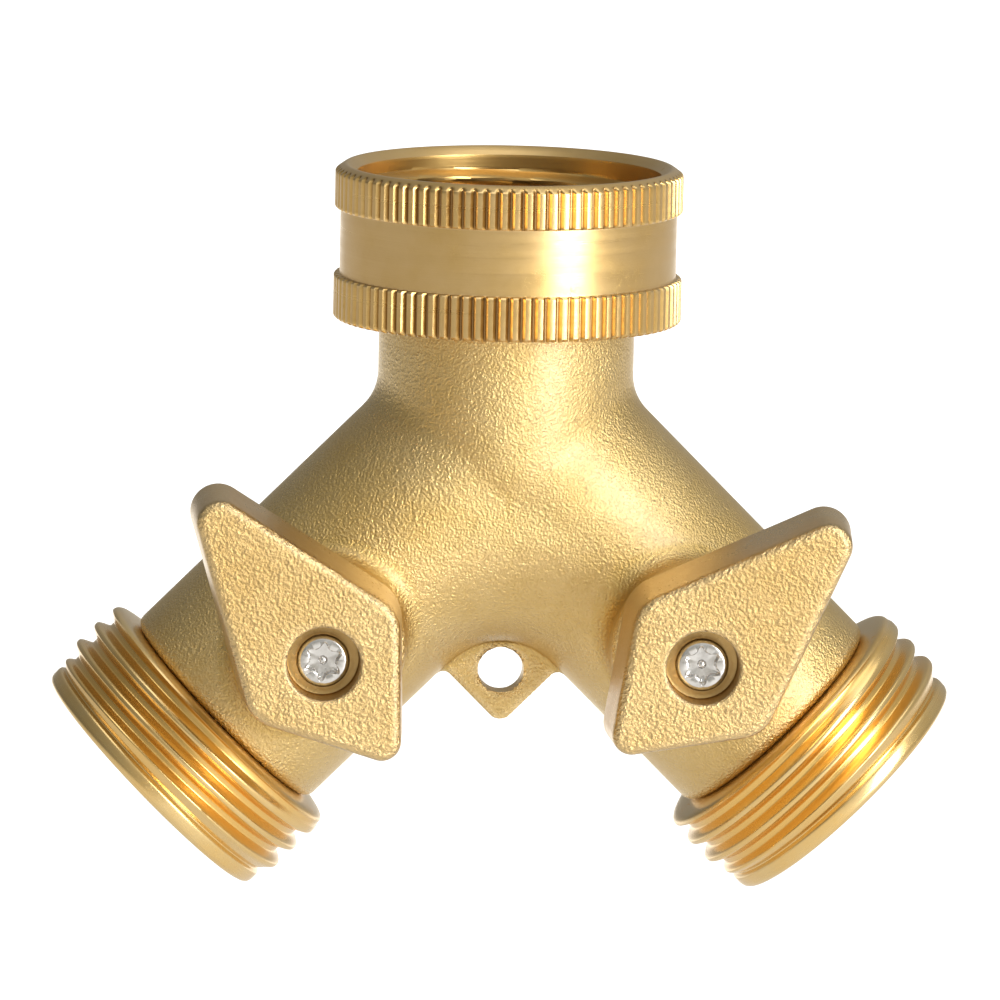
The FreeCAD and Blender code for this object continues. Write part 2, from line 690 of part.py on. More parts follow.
def make_stem(side):
    stem = new_body(side_name(side) + "_stem")
    shaft = sketch_on(stem, stem.Name + "_shaft", "XZ_Plane")
    seal_floor = "stem_radius + running_clearance - groove_ease - 2 * seal_radius"
    corners = [
        ("0", FLANGE_FOOT),
        (FLANGE_RADIUS, FLANGE_FOOT),
        (FLANGE_RADIUS, FLANGE_TOP),
        ("stem_radius", FLANGE_TOP),
    ]
    for centre in (FIRST_SEAL, f"{FIRST_SEAL} + seal_spacing"):
        low, high = f"{centre} - seal_groove / 2", f"{centre} + seal_groove / 2"
        corners += [
            ("stem_radius", low),
            (seal_floor, low),
            (seal_floor, high),
            ("stem_radius", high),
        ]
    corners += [
        ("stem_radius", f"{BOSS_TOP} + handle_gap / 2"),
        ("0", f"{BOSS_TOP} + handle_gap / 2"),
    ]
    outline(shaft, corners)
    revolve(stem, shaft)
    blade = sketch_on(stem, stem.Name + "_blade", "XY_Plane", lift="ball_radius - slot_depth + blade_gap")
    across = "(slot_width / 2 - running_clearance)"
    corners = box_corners(across, "blade_length / 2")
    outline(blade, corners)
    pad(stem, blade, "flange_gap + slot_depth")
    drive = sketch_on(stem, stem.Name + "_drive", "XY_Plane", lift=BOSS_TOP)
    outline(drive, box_corners("drive_half", "drive_half"))
    pad(stem, drive, f"{WEB_FOOT} - drive_play - {BOSS_TOP}")
    thread = sketch_on(stem, stem.Name + "_tapping", "XY_Plane", lift=WEB_FOOT)
    circle(thread, "screw_radius + running_clearance")
    pocket(stem, thread, "screw_grip + tapping_run")
    place_in_valve(stem, side)
    return stem


def box_corners(half_x, half_y):
    return [
        (f"0 - {half_x}", f"0 - {half_y}"),
        (half_x, f"0 - {half_y}"),
        (half_x, half_y),
        (f"0 - {half_x}", half_y),
    ]


def make_o_ring(side, name, section_radius, centre_radius, centre, on_the_leg):
    ring = new_body(f"{side_name(side)}_{name}")
    section = sketch_on(ring, ring.Name + "_section", "XZ_Plane")
    circle(section, section_radius, centre_radius, centre)
    revolve(ring, section)
    if on_the_leg:
        place_on_leg(ring, side)
    else:
        place_in_valve(ring, side)
    return ring


def make_thrust_washer(side):
    washer = new_body(side_name(side) + "_thrust_washer")
    section = sketch_on(washer, washer.Name + "_section", "XZ_Plane")
    low, high = f"{FLANGE_TOP} + running_clearance", POCKET_TOP
    inner, outer = "stem_radius + 2 * running_clearance", FLANGE_RADIUS
    outline(section, [(inner, low), (outer, low), (outer, high), (inner, high)])
    revolve(washer, section)
    place_in_valve(washer, side, turned=False)
    return washer


# ---------------------------------------------------------------- handles


def make_handle(side):
    """A kite-shaped lever, drawn at its front face, whose sides spread towards the body."""
    handle = new_body(side_name(side) + "_handle")
    kite = sketch_on(handle, handle.Name + "_kite", "XY_Plane", lift=HANDLE_FACE)
    corners = [
        ("handle_tip", "0"),
        ("0", "handle_half_width"),
        ("0 - handle_heel", "0"),
        ("0", "0 - handle_half_width"),
    ]
    outline(kite, corners)
    pad(handle, kite, "handle_height", reverse=True, taper="handle_draft")
    for name, radius, test in (
        ("tip_corner", "tip_round", lambda v: v.X > worth("handle_tip") / 2),
        ("heel_corner", "heel_round", lambda v: v.X < -worth("handle_heel") / 2),
        ("side_corners", "side_round", lambda v: abs(v.Y) > worth("handle_half_width") / 2),
    ):
        round_edges(handle, f"{handle.Name}_{name}", radius, upright_edge(test))
    round_edges(handle, handle.Name + "_front_edge", "handle_edge", is_front_edge)
    well = sketch_on(handle, handle.Name + "_well", "XY_Plane", lift=HANDLE_FACE)
    circle(well, "screw_well_radius")
    pocket(handle, well, "screw_well_depth")
    hole = sketch_on(handle, handle.Name + "_hole", "XY_Plane", lift=HANDLE_FACE)
    circle(hole, "screw_radius + screw_hole_ease")
    pocket(handle, hole, "handle_height")
    drive = sketch_on(handle, handle.Name + "_drive", "XY_Plane", lift=WEB_FOOT)
    outline(drive, box_corners("(drive_half + drive_clearance)", "(drive_half + drive_clearance)"))
    pocket(handle, drive, "handle_height")
    track = sketch_on(handle, handle.Name + "_track", "XZ_Plane")
    low, high = f"{HANDLE_FOOT} - handle_gap", f"{BOSS_TOP} + stop_height + track_clearance"
    inner = "0 - stop_circle + stop_pin + track_clearance"
    outer = "0 - stop_circle - stop_pin - track_clearance"
    outline(track, [(inner, low), (inner, high), (outer, high), (outer, low)])
    groove = handle.newObject("PartDesign::Groove", handle.Name + "_stop_track")
    groove.Profile = track
    groove.ReferenceAxis = (track, ["V_Axis"])
    set_size(groove, "Angle", "90 + 2 * asin((stop_pin + stop_clearance) / stop_circle) / 1 deg")
    groove.Midplane = True
    cut(handle, groove)
    place_in_valve(handle, side)
    return handle


def upright_edge(test):
    """Edges that run from front to back with both ends where the test says."""

    def chosen(edge):
        if len(edge.Vertexes) != 2:
            return False
        first, last = edge.Vertexes
        return not near(first.Z, last.Z) and test(first) and test(last)

    return chosen


def is_front_edge(edge):
    return all(near(vertex.Z, worth(HANDLE_FACE)) for vertex in edge.Vertexes)


def make_screw(side):
    """Pan-head screw with a six-pointed star recess."""
    screw = new_body(side_name(side) + "_handle_screw")
    section = sketch_on(screw, screw.Name + "_section", "XZ_Plane")
    top = f"{WELL_FLOOR} + screw_head_height"
    corners = [
        ("0", f"{WEB_FOOT} - screw_grip"),
        ("screw_radius", f"{WEB_FOOT} - screw_grip"),
        ("screw_radius", WELL_FLOOR),
        ("screw_head_radius", WELL_FLOOR),
        ("screw_head_radius", f"{WELL_FLOOR} + screw_head_height / 2"),
        ("screw_head_radius - head_corner_in", f"{top} - head_corner_drop"),
        ("screw_head_radius - head_flat_in", top),
        ("0", top),
    ]
    outline(section, corners)
    revolve(screw, section)
    star = sketch_on(screw, f"{screw.Name}_star", "XY_Plane", lift=top)
    corners = []
    for turn in range(STAR_STEP // 2, 360, 2 * STAR_STEP):
        corners.append((f"star_reach * cos({turn})", f"star_reach * sin({turn})"))
        between = turn + STAR_STEP
        corners.append((f"star_waist * cos({between})", f"star_waist * sin({between})"))
    outline(star, corners)
    pocket(screw, star, "star_depth")
    place_in_valve(screw, side)
    return screw


# ---------------------------------------------------------------- outlets


def make_fitting(side):
    """Threaded outlet, screwed into its socket by the hexagon inside its mouth."""
    fitting = new_body(side_name(side) + "_outlet_fitting")
    section = sketch_on(fitting, fitting.Name + "_section", "XZ_Plane")
    nose = f"({SOCKET_RADIUS} - fitting_clearance)"
    groove_floor = f"({nose} - 2 * oring_radius - groove_ease)"
    groove_low = f"{LEG_LENGTH} - oring_setback - oring_groove / 2"
    groove_high = f"{LEG_LENGTH} - oring_setback + oring_groove / 2"
    land_foot = f"{FITTING_END} - land_length"
    step = "(outer_thread_major - land_radius)"
    corners = [
        ("throat_radius", SOCKET_FLOOR),
        (nose, SOCKET_FLOOR),
        (nose, groove_low),
        (groove_floor, groove_low),
        (groove_floor, groove_high),
        (nose, groove_high),
        (nose, LEG_LENGTH),
        ("leg_radius", LEG_LENGTH),
        ("leg_radius + collar_rise", f"{LEG_LENGTH} + collar_height / 3"),
        ("outer_thread_major", f"{LEG_LENGTH} + collar_height"),
        ("outer_thread_major", f"{land_foot} - {step}"),
        ("land_radius", land_foot),
        ("land_radius", f"{FITTING_END} - land_chamfer"),
        ("land_radius - land_chamfer", FITTING_END),
        ("outlet_bore", FITTING_END),
        ("outlet_bore", f"{FITTING_END} - outlet_depth"),
        ("throat_radius", f"{FITTING_END} - outlet_depth"),
    ]
    outline(section, corners)
    revolve(fitting, section)
    start = f"({LEG_LENGTH} + collar_height + {GROOVE_HALF})"
    height = f"{land_foot} - {GROOVE_HALF} - {start}"
    thread_groove(fitting, "outer_thread_major + outer_thread_entry", "outer_thread_minor", start, height)
    key = sketch_on(fitting, fitting.Name + "_key", "XY_Plane", lift=f"{FITTING_END} - outlet_depth")
    half, corner = "key_half", "2 * key_half / sqrt(3)"
    corners = [
        (corner, "0"),
        (f"{corner} / 2", half),
        (f"0 - {corner} / 2", half),
        (f"0 - {corner}", "0"),
        (f"0 - {corner} / 2", f"0 - {half}"),
        (f"{corner} / 2", f"0 - {half}"),
    ]
    outline(key, corners)
    pocket(fitting, key, "key_depth")
    place_on_leg(fitting, side)
    return fitting


# ---------------------------------------------------------------- assembly


def make_all():
    parts = [make_body(), make_nut(), make_ring(), make_washer()]
    oring_centre = f"{SOCKET_RADIUS} - fitting_clearance - groove_ease / 2 - oring_radius"
    oring_place = f"{LEG_LENGTH} - oring_setback"
    seal_centre = "stem_radius + running_clearance - groove_ease / 2 - seal_radius"
    outer_seal = f"{FIRST_SEAL} + seal_spacing"
    for side in (LEFT, RIGHT):
        parts += [
            make_fitting(side),
            make_o_ring(side, "fitting_o_ring", "oring_radius", oring_centre, oring_place, True),
            make_ball(side),
            make_seat(side, "upstream", -1),
            make_seat(side, "downstream", 1),
            make_stem(side),
            make_o_ring(side, "inner_stem_o_ring", "seal_radius", seal_centre, FIRST_SEAL, False),
            make_o_ring(side, "outer_stem_o_ring", "seal_radius", seal_centre, outer_seal, False),
            make_thrust_washer(side),
            make_handle(side),
            make_screw(side),
        ]
    return parts


def check(parts):
    """Stop if any object failed or any sub-part isn't one valid solid."""
    doc.recompute()
    for item in doc.Objects:
        if "Invalid" in item.State or "Error" in item.State:
            raise RuntimeError(f"{item.Name} failed: {item.State}")
    for part in parts:
        shape = part.Shape
        if shape.isNull() or not shape.isValid() or len(shape.Solids) != 1:
            raise RuntimeError(f"{part.Label} isn't one valid solid")


def write(parts):
    os.makedirs("parts", exist_ok=True)
    for part in parts:
        part.Shape.exportStep(os.path.join("parts", part.Label + ".step"))


sub_parts = make_all()
check(sub_parts)
write(sub_parts)
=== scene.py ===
import math

import bpy
import numpy as np
from bpy.props import FloatProperty, FloatVectorProperty, IntProperty, PointerProperty
from mathutils import Matrix, Vector


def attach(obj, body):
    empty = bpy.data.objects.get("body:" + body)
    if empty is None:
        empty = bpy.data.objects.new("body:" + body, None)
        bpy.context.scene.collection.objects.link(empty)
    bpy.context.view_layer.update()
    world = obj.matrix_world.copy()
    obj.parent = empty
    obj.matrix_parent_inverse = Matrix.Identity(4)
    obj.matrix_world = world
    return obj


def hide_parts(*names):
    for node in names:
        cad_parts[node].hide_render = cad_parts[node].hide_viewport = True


bl_info = {
    "name": "Hose splitter",
    "version": (1, 0, 0),
    "blender": (4, 5, 0),
    "location": "3D View > Sidebar > Hose splitter",
    "description": "Surfaces, finishes, light and camera of a two-way brass garden hose splitter",
    "category": "Object",
}

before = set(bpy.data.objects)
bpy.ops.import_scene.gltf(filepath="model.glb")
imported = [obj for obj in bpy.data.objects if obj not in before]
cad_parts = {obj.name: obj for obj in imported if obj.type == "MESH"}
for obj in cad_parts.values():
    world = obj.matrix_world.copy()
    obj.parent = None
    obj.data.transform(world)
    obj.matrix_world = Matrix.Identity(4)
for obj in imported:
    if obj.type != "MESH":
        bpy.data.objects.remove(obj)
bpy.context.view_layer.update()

# Millimetres and degrees, in the frame of the CAD model: origin in the middle of the inlet nut's
# mouth, Z out of the mouth, X to the right-hand outlet, handles towards -Y.
MM = 0.001
LEFT, RIGHT = -1, 1
SIDES = (("left", LEFT), ("right", RIGHT))
LEG_ANGLE = math.radians(45)
JUNCTION_Z = -24.68
BALL_AT = 23.65
BALL_X = BALL_AT * math.sin(LEG_ANGLE)
BALL_Z = JUNCTION_Z - BALL_AT * math.cos(LEG_ANGLE)
SHOULDER_Z = -14.0
SPIGOT_RADIUS = 9.9
SPIGOT_TOP = -10.6
LEG_END = 35.3
BOSS_RADIUS = 7.6
BOSS_TOP = 15.35
TAB_HOLE_Z = -45.47
HANDLE_FOOT = 15.85
HANDLE_FACE = 24.15
WELL_FLOOR = 20.75
WEB_FOOT = 19.85
HANDLE_TURN = {LEFT: math.radians(127), RIGHT: math.radians(45)}
THREAD_PITCH = 2.209

# Radius of each bore in a leg, and where along the leg it starts.
LEG_BORES = ((6.5, 0.0), (7.3, 16.75), (8.9, 30.55))
INLET_BORE = 7.5
STEM_BORE = 3.05
COLLAR_BORE, COLLAR_BORE_TOP = 4.3, 8.85
CROTCH_FILLET = 2.0
RING_GROOVE_Z, RING_GROOVE_HALF, RING_GROOVE_FLOOR = -11.95, 0.75, 9.1
PIN_BELOW_AXIS, PIN_RADIUS, PIN_TOP, PIN_FOOT = 5.4, 0.9, BOSS_TOP + 1.4, 12
TAB_HALF_WIDTH, TAB_HALF_THICKNESS, TAB_SOFT_EDGE = 4.61, 1.5, 0.35
TAB_CENTRE_Z = TAB_HOLE_Z + 1.5
TAB_HOLE_RADIUS = 2.03
TAB_FILLET = 0.5
SKIN_LOW, SKIN_HIGH = (-35.5, -17.6, -59.5), (35.5, 12.6, -9.9)
SCREW_TURN = {LEFT: 0.3, RIGHT: 0.85}

# Clear lacquer over every bright metal; it whitens the highlights.
COAT_WEIGHT, COAT_IOR = 0.55, 1.7

# Stage, in metres unless it says otherwise.
DROP_FROM_Z = -57.6  # millimetres, a little below the middle of the outlets' mouths
FLOOR_HALF = 9.0
LOOK_AT = (-0.00029, 0, -0.03025)
LIT_POINT = (0, 0, -0.03)
SENSOR_WIDTH = 36  # millimetres


# ---- sizes and colours a user may change


def length(name, description, size):
    """A length property; size is in millimetres."""
    return FloatProperty(
        name=name, description=description, default=size * MM, subtype="DISTANCE", unit="LENGTH",
        precision=5
    )


def colour(name, description, value):
    """A colour property with red, green and blue from 0 to 1."""
    return FloatVectorProperty(
        name=name, description=description, default=value, subtype="COLOR", size=3, min=0, max=1
    )


def amount(name, description, value):
    """A plain number from 0 upwards."""
    return FloatProperty(name=name, description=description, default=value, min=0)


def angle(name, description, degrees):
    """An angle property, given in degrees."""
    turn = math.radians(degrees)
    return FloatProperty(name=name, description=description, default=turn, subtype="ANGLE", unit="ROTATION")


def power(name, description, watts):
    """The power of a light."""
    return FloatProperty(name=name, description=description, default=watts, unit="POWER")


class BodySizes(bpy.types.PropertyGroup):
    """Sizes of the forged body."""

    neck_radius: length("Neck radius", "Outside of the inlet neck", 11.43)
    leg_radius: length("Leg radius", "Outside of each outlet leg", 11.0)
    bend_radius: length("Bend radius", "Middle line of the bend between the two legs", 17.4)
    neck_fillet: length("Neck fillet", "Fillet where the neck runs into the legs", 4.6)
    bend_fillet: length("Bend fillet", "Fillet between the bend and the legs", 6.0)
    boss_fillet: length("Boss fillet", "Fillet round the foot of a valve boss", 2.0)
    leg_end_round: length("Leg end round", "Round on the machined end of a leg", 0.9)
    drill_edge: length("Drilled edge", "Softness of the edge of each drilled hole", 0.35)
    tab_round: length("Tab round", "Round on the corners of the hanging tab", 1.2)
    cell: length("Skin cell", "Spacing of the points on the body's skin", 0.41)


class NutSizes(bpy.types.PropertyGroup):
    """Sizes of the swivel nut."""

    teeth: IntProperty(name="Teeth", description="Straight knurl teeth round the nut", default=88, min=12)
    tooth_top: amount("Tooth top", "Share of the knurl's pitch that stays at full radius", 0.42)
    knurl_radius: length("Knurl radius", "Outside of the knurled bands", 15.57)
    knurl_depth: length("Knurl depth", "Depth of a knurl groove", 0.42)
    band_radius: length("Band radius", "Outside of the smooth band", 15.05)
    rim_radius: length("Rim radius", "Outside of the plain rim at the mouth", 15.1)
    thread_crest: length("Thread crest", "Radius of the inner thread's crest", 12.3)
    thread_root: length("Thread root", "Radius of the inner thread's root", 13.62)


class OutletSizes(bpy.types.PropertyGroup):
    """Sizes of the two threaded outlets."""

    crest_radius: length("Crest radius", "Outside of the hose thread", 13.45)
    thread_depth: length("Thread depth", "Crest to root of the hose thread", 1.05)
    land_radius: length("End ring radius", "Outside of the plain ring at the mouth", 12.8)
    bore_radius: length("Bore radius", "Inside of the outlet's mouth", 8.5)
    first_groove: length("First groove", "Junction to the first thread groove, on the crotch side", 36.9)


class HandleSizes(bpy.types.PropertyGroup):
    """Sizes of the two lever handles, at their front face."""

    tip: length("Long corner", "Axis to the sharp long corner", 21.2)
    heel: length("Short corner", "Axis to the sharp short corner", 11.6)
    half_width: length("Half width", "Axis to a sharp side corner", 8.15)
    side_shift: length("Side shift", "How far the side corners sit behind the axis", 0.28)
    tip_round: length("Long corner round", "Round of the long corner", 2.05)
    heel_round: length("Short corner round", "Round of the short corner", 1.7)
    side_round: length("Side corner round", "Round of the two side corners", 3.4)
    soft_edge: length("Soft edge", "Round of the front edge", 0.85)
    draft: angle("Draft", "Draft of the handle's sides", 3)
    well_radius: length("Screw well", "Radius of the well that sinks the screw's head", 3.25)


class ScrewSizes(bpy.types.PropertyGroup):
    """Sizes of the two handle screws."""

    head_radius: length("Head radius", "Radius of the screw's head", 2.4)
    star_radius: length("Star radius", "Middle radius of the star recess", 1.4)
    star_lobe: length("Star lobe", "How far the star's lobes stand out of that radius", 0.24)
    star_depth: length("Star depth", "Depth of the star recess", 0.85)


class Finishes(bpy.types.PropertyGroup):
    """Colours and grain of the finishes."""

    cast_pale: colour("Body, pale", "Pale tone of the blasted body", (0.80, 0.60, 0.285))
    cast_deep: colour("Body, deep", "Deep tone of the blasted body", (0.67, 0.46, 0.15))
    handle_pale: colour("Handle, pale", "Pale tone of the blasted handles", (0.75, 0.54, 0.25))
    handle_deep: colour("Handle, deep", "Deep tone of the blasted handles", (0.62, 0.405, 0.14))
    turned_pale: colour("Nut, pale", "Pale tone of the turned nut", (0.78, 0.55, 0.25))
    turned_deep: colour("Nut, deep", "Deep tone of the turned nut", (0.68, 0.44, 0.135))
    thread_pale: colour("Thread, pale", "Pale tone of the thread crests", (0.80, 0.61, 0.30))
    thread_deep: colour("Thread, deep", "Deep tone of the thread flanks", (0.84, 0.53, 0.15))
    chrome: colour("Chrome", "Tone of the chromed pieces", (0.74, 0.73, 0.72))
    body_grain: length("Body grain", "Size of the grain on the blasted body", 0.225)
    handle_grain: length("Handle grain", "Size of the grain on the handles", 0.29)


class Studio(bpy.types.PropertyGroup):
    """Camera and light."""

    elevation: angle("Elevation", "Camera above the horizon", 8.63)
    azimuth: angle("Azimuth", "Camera to the left of the front", 2.872)
    roll: angle("Roll", "Camera turned about its own line of sight", 1.113)
    distance: length("Distance", "Camera to the point it looks at", 1148.77)
    lens: FloatProperty(
        name="Lens", description="Focal length on a 36 mm sensor", default=461.1, unit="CAMERA"
    )
    floor_drop: length("Floor", "Drop to the floor from just below the middle of the mouths", 110.0)
    key_light: power("Key light", "Power of the main soft light", 8.2)
    front_light: power("Front light", "Power of the soft light beside the camera", 0.3)
    top_light: power("Top light", "Power of the soft light overhead", 2.2)
    room_light: amount("Room light", "Strength of the light from all round", 0.31)


class HoseSplitter(bpy.types.PropertyGroup):
    """All sizes, colours and light of the hose splitter."""

    body: PointerProperty(type=BodySizes)
    nut: PointerProperty(type=NutSizes)
    outlet: PointerProperty(type=OutletSizes)
    handle: PointerProperty(type=HandleSizes)
    screw: PointerProperty(type=ScrewSizes)
    finish: PointerProperty(type=Finishes)
    studio: PointerProperty(type=Studio)


# ---- frames and meshes


def leg_axes(side):
    """Three unit directions of a leg's own frame: crotch side, back, and out along the leg."""
    return np.array(
        [
            [-math.cos(LEG_ANGLE), 0, -side * math.sin(LEG_ANGLE)],
            [0, 1, 0],
            [side * math.sin(LEG_ANGLE), 0, -math.cos(LEG_ANGLE)],
        ]
    )


def from_leg(points, side):
    """Points of a leg's own frame in the frame of the whole splitter: junction + point times axes."""
    return points @ leg_axes(side) + np.array([0, 0, JUNCTION_Z])


def from_valve(points, side):
    """Points of a valve's own frame, turned by the handle's rest angle, in the whole splitter's frame."""
    c, s = math.cos(HANDLE_TURN[side]), math.sin(HANDLE_TURN[side])
    right = points[..., 0] * c - points[..., 1] * s
    up = points[..., 0] * s + points[..., 1] * c
    return np.stack([right + side * BALL_X, -points[..., 2], up + BALL_Z], -1)


def ring_quads(rows, columns, joined):
    """Quads between neighbouring rings of a grid; joined also links the last ring to the first."""
    row = np.arange(rows if joined else rows - 1)[:, None]
    column = np.arange(columns)[None, :]
    after, beside = (row + 1) % rows, (column + 1) % columns
    corners = (
        row * columns + column, row * columns + beside, after * columns + beside,
        after * columns + column
    )
    return np.stack(corners, -1).reshape(-1, 4)


def facing_out(points, quads):
    """The same faces, turned round if the volume that they enclose comes out negative."""
    a, b, c, d = (points[quads[:, i]] for i in range(4))
    volume = np.einsum("ij,ij->", a, np.cross(b, c)) + np.einsum("ij,ij->", a, np.cross(c, d))
    return quads if volume > 0 else quads[:, ::-1]


def build(name, points, quads, own, edge, shade_mask=None, sharp=40):
    """A smooth-shaded mesh object from points in millimetres and quads; a quad that repeats its last point
    is a triangle. Attributes: own is each point in its piece's own frame, edge is 1 on raised edges and
    crease is 1 in hollows."""
    quads = facing_out(points, quads)
    triangle = (quads[:, 2] == quads[:, 3]) | (quads[:, 0] == quads[:, 1])
    four = quads[~triangle]
    three = quads[triangle]
    three = np.where((three[:, 2] == three[:, 3])[:, None], three[:, [0, 1, 2]], three[:, [1, 2, 3]])
    loops = np.concatenate([four.ravel(), three.ravel()]).astype(np.int32)
    starts = np.concatenate(
        [np.arange(len(four)) * 4, len(four) * 4 + np.arange(len(three)) * 3]
    ).astype(np.int32)
    mesh = bpy.data.meshes.new(name)
    mesh.vertices.add(len(points))
    mesh.vertices.foreach_set("co", (points * MM).astype(np.float32).ravel())
    mesh.loops.add(len(loops))
    mesh.loops.foreach_set("vertex_index", loops)
    mesh.polygons.add(len(starts))
    mesh.polygons.foreach_set("loop_start", starts)
    mesh.update(calc_edges=True)
    if mesh.validate():
        raise RuntimeError(f"{name} had faulty faces")
    mesh.polygons.foreach_set("use_smooth", np.ones(len(starts), bool))
    mesh.set_sharp_from_angle(angle=math.radians(sharp))
    mesh.attributes.new("own", "FLOAT_VECTOR", "POINT").data.foreach_set(
        "vector", (own * MM).astype(np.float32).ravel()
    )
    for title, values in (("edge", edge), ("shade_mask", shade_mask)):
        values = np.zeros(len(points)) if values is None else values
        mesh.attributes.new(title, "FLOAT", "POINT").data.foreach_set("value", values.astype(np.float32))
    piece = bpy.data.objects.new(name, mesh)
    bpy.context.scene.collection.objects.link(piece)
    return piece


def finish_piece(piece, material, slot, body, *nodes):
    """Give a piece its material and slot, let it move with its body and stand for its CAD nodes."""
    piece.data.materials.append(material)
    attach(piece, body)
    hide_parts(*nodes)


def bend_measure(rings):
    """How sharply a closed profile turns outwards at each ring, from 0 to 1: the turn between the step
    before and the step after, read on one column of the grid."""
    profile = rings[:, 0]
    before = profile - np.roll(profile, 1, 0)
    after = np.roll(profile, -1, 0) - profile
    before /= np.maximum(np.linalg.norm(before, axis=1, keepdims=True), 1e-9)
    after /= np.maximum(np.linalg.norm(after, axis=1, keepdims=True), 1e-9)
    return np.clip(1 - np.einsum("ij,ij->i", before, after), 0, 1)


# ---- forged body


def unit(vectors):
    """The same directions with length one."""
    return vectors / np.maximum(np.linalg.norm(vectors, axis=-1, keepdims=True), 1e-9)


def round_post(across, along, radius, end, edge):
    """Signed distance to a round post: a rectangle in (across, along) whose outer corner has a round."""
    beyond_side, beyond_end = across - (radius - edge), along - (end - edge)
    inner = np.minimum(np.maximum(beyond_side, beyond_end), 0)
    return inner + np.hypot(np.maximum(beyond_side, 0), np.maximum(beyond_end, 0)) - edge


def filleted(one, other, radius):
    """Union of two solids, each a signed distance and its direction. Where they meet at an angle, the
    nearer distance is lowered by reach * share * (1 - share), with reach = 4 radius (1 - cos of half the
    angle between their directions), so that a crease gets a fillet and a tangent meeting gets no lump."""
    (a, na), (b, nb) = one, other
    cosine = np.clip(np.einsum("ij,ij->i", na, nb), -1, 1)
    reach = np.maximum(4 * radius * (1 - np.sqrt((1 + cosine) / 2)), 1e-4)
    share = np.clip(0.5 + 0.5 * (b - a) / reach, 0, 1)
    distance = b * (1 - share) + a * share - reach * share * (1 - share)
    return distance, unit(nb * (1 - share)[:, None] + na * share[:, None])


def drilled(solid, hole, edge):
    """Solid less hole, with the edge of the hole softened over the given length."""
    share = np.clip(0.5 + 0.5 * (solid + hole) / edge, 0, 1)
    return solid * share - hole * (1 - share) + edge * share * (1 - share)


def leg_places(points, side):
    """Distance out along a leg, and the arrow from the leg's middle line to each point."""
    axis = leg_axes(side)[2]
    offset = points - np.array([0, 0, JUNCTION_Z])
    along = offset @ axis
    return along, offset - along[:, None] * axis


def leg_solid(points, side, radius, edge):
    """A round leg with a rounded machined end; it starts in a ball round the junction."""
    along, arrow = leg_places(points, side)
    across = np.linalg.norm(arrow, axis=1)
    distance = round_post(across, along, radius, LEG_END, edge)
    from_junction = points - np.array([0, 0, JUNCTION_Z])
    ball = np.linalg.norm(from_junction, axis=1) - radius
    behind = along < 0
    arrow = np.where(behind[:, None], from_junction, arrow)
    return np.where(behind, ball, distance), unit(arrow)


def bend_solid(points, legs, radius, bend):
    """A quarter of a tube bent round a centre below the junction, tangent to both legs. Past its two
    ends it is simply the legs."""
    centre_z = JUNCTION_Z - bend / math.sin(LEG_ANGLE)
    x, up = points[:, 0], points[:, 2] - centre_z
    reach = np.maximum(np.hypot(x, up), 1e-9)
    out = reach - bend
    distance = np.hypot(out, points[:, 1]) - radius
    arrow = unit(np.stack([out * x / reach, points[:, 1], out * up / reach], -1))
    within = np.abs(x) <= up
    return np.where(within, distance, legs[0]), np.where(within[:, None], arrow, legs[1])


def neck_solid(points, radius):
    """The upright neck, rounded over at the bottom like a ball round the junction."""
    low = points[:, 2] < JUNCTION_Z
    arrow = points * np.array([1, 1, 0]) + np.where(
        low, points[:, 2] - JUNCTION_Z, 0
    )[:, None] * np.array([0, 0, 1])
    across = np.linalg.norm(arrow, axis=1)
    distance = np.where(low, across - radius, round_post(across, points[:, 2], radius, SHOULDER_Z, 0.35))
    return distance, unit(arrow)


def boss_solid(points, side):
    """The round boss of a valve, standing forwards from the leg's middle line."""
    arrow = (points - np.array([side * BALL_X, 0, BALL_Z])) * np.array([1, 0, 1])
    across = np.linalg.norm(arrow, axis=1)
    distance = np.maximum(round_post(across, -points[:, 1], BOSS_RADIUS, BOSS_TOP, 0.8), points[:, 1])
    return distance, unit(arrow)


def tab_solid(points, corner_round):
    """The flat tab: a square stood on its corner with rounded corners, 3 mm thick with soft edges."""
    soft = TAB_SOFT_EDGE
    x, z = points[:, 0], points[:, 2] - TAB_CENTRE_Z
    sides = np.abs(np.stack([x + z, x - z])) / math.sqrt(2) - (TAB_HALF_WIDTH - corner_round)
    flat = np.minimum(sides.max(0), 0) + np.hypot(*np.maximum(sides, 0)) - corner_round
    thick = np.abs(points[:, 1]) - TAB_HALF_THICKNESS
    distance = np.minimum(np.maximum(flat + soft, thick + soft), 0)
    distance += np.hypot(np.maximum(flat + soft, 0), np.maximum(thick + soft, 0)) - soft
    arrow = np.stack([np.zeros_like(x), np.sign(points[:, 1]), np.zeros_like(x)], -1)
    return distance, np.where((thick > flat)[:, None], arrow, unit(np.stack([x, 0 * x, z], -1)))


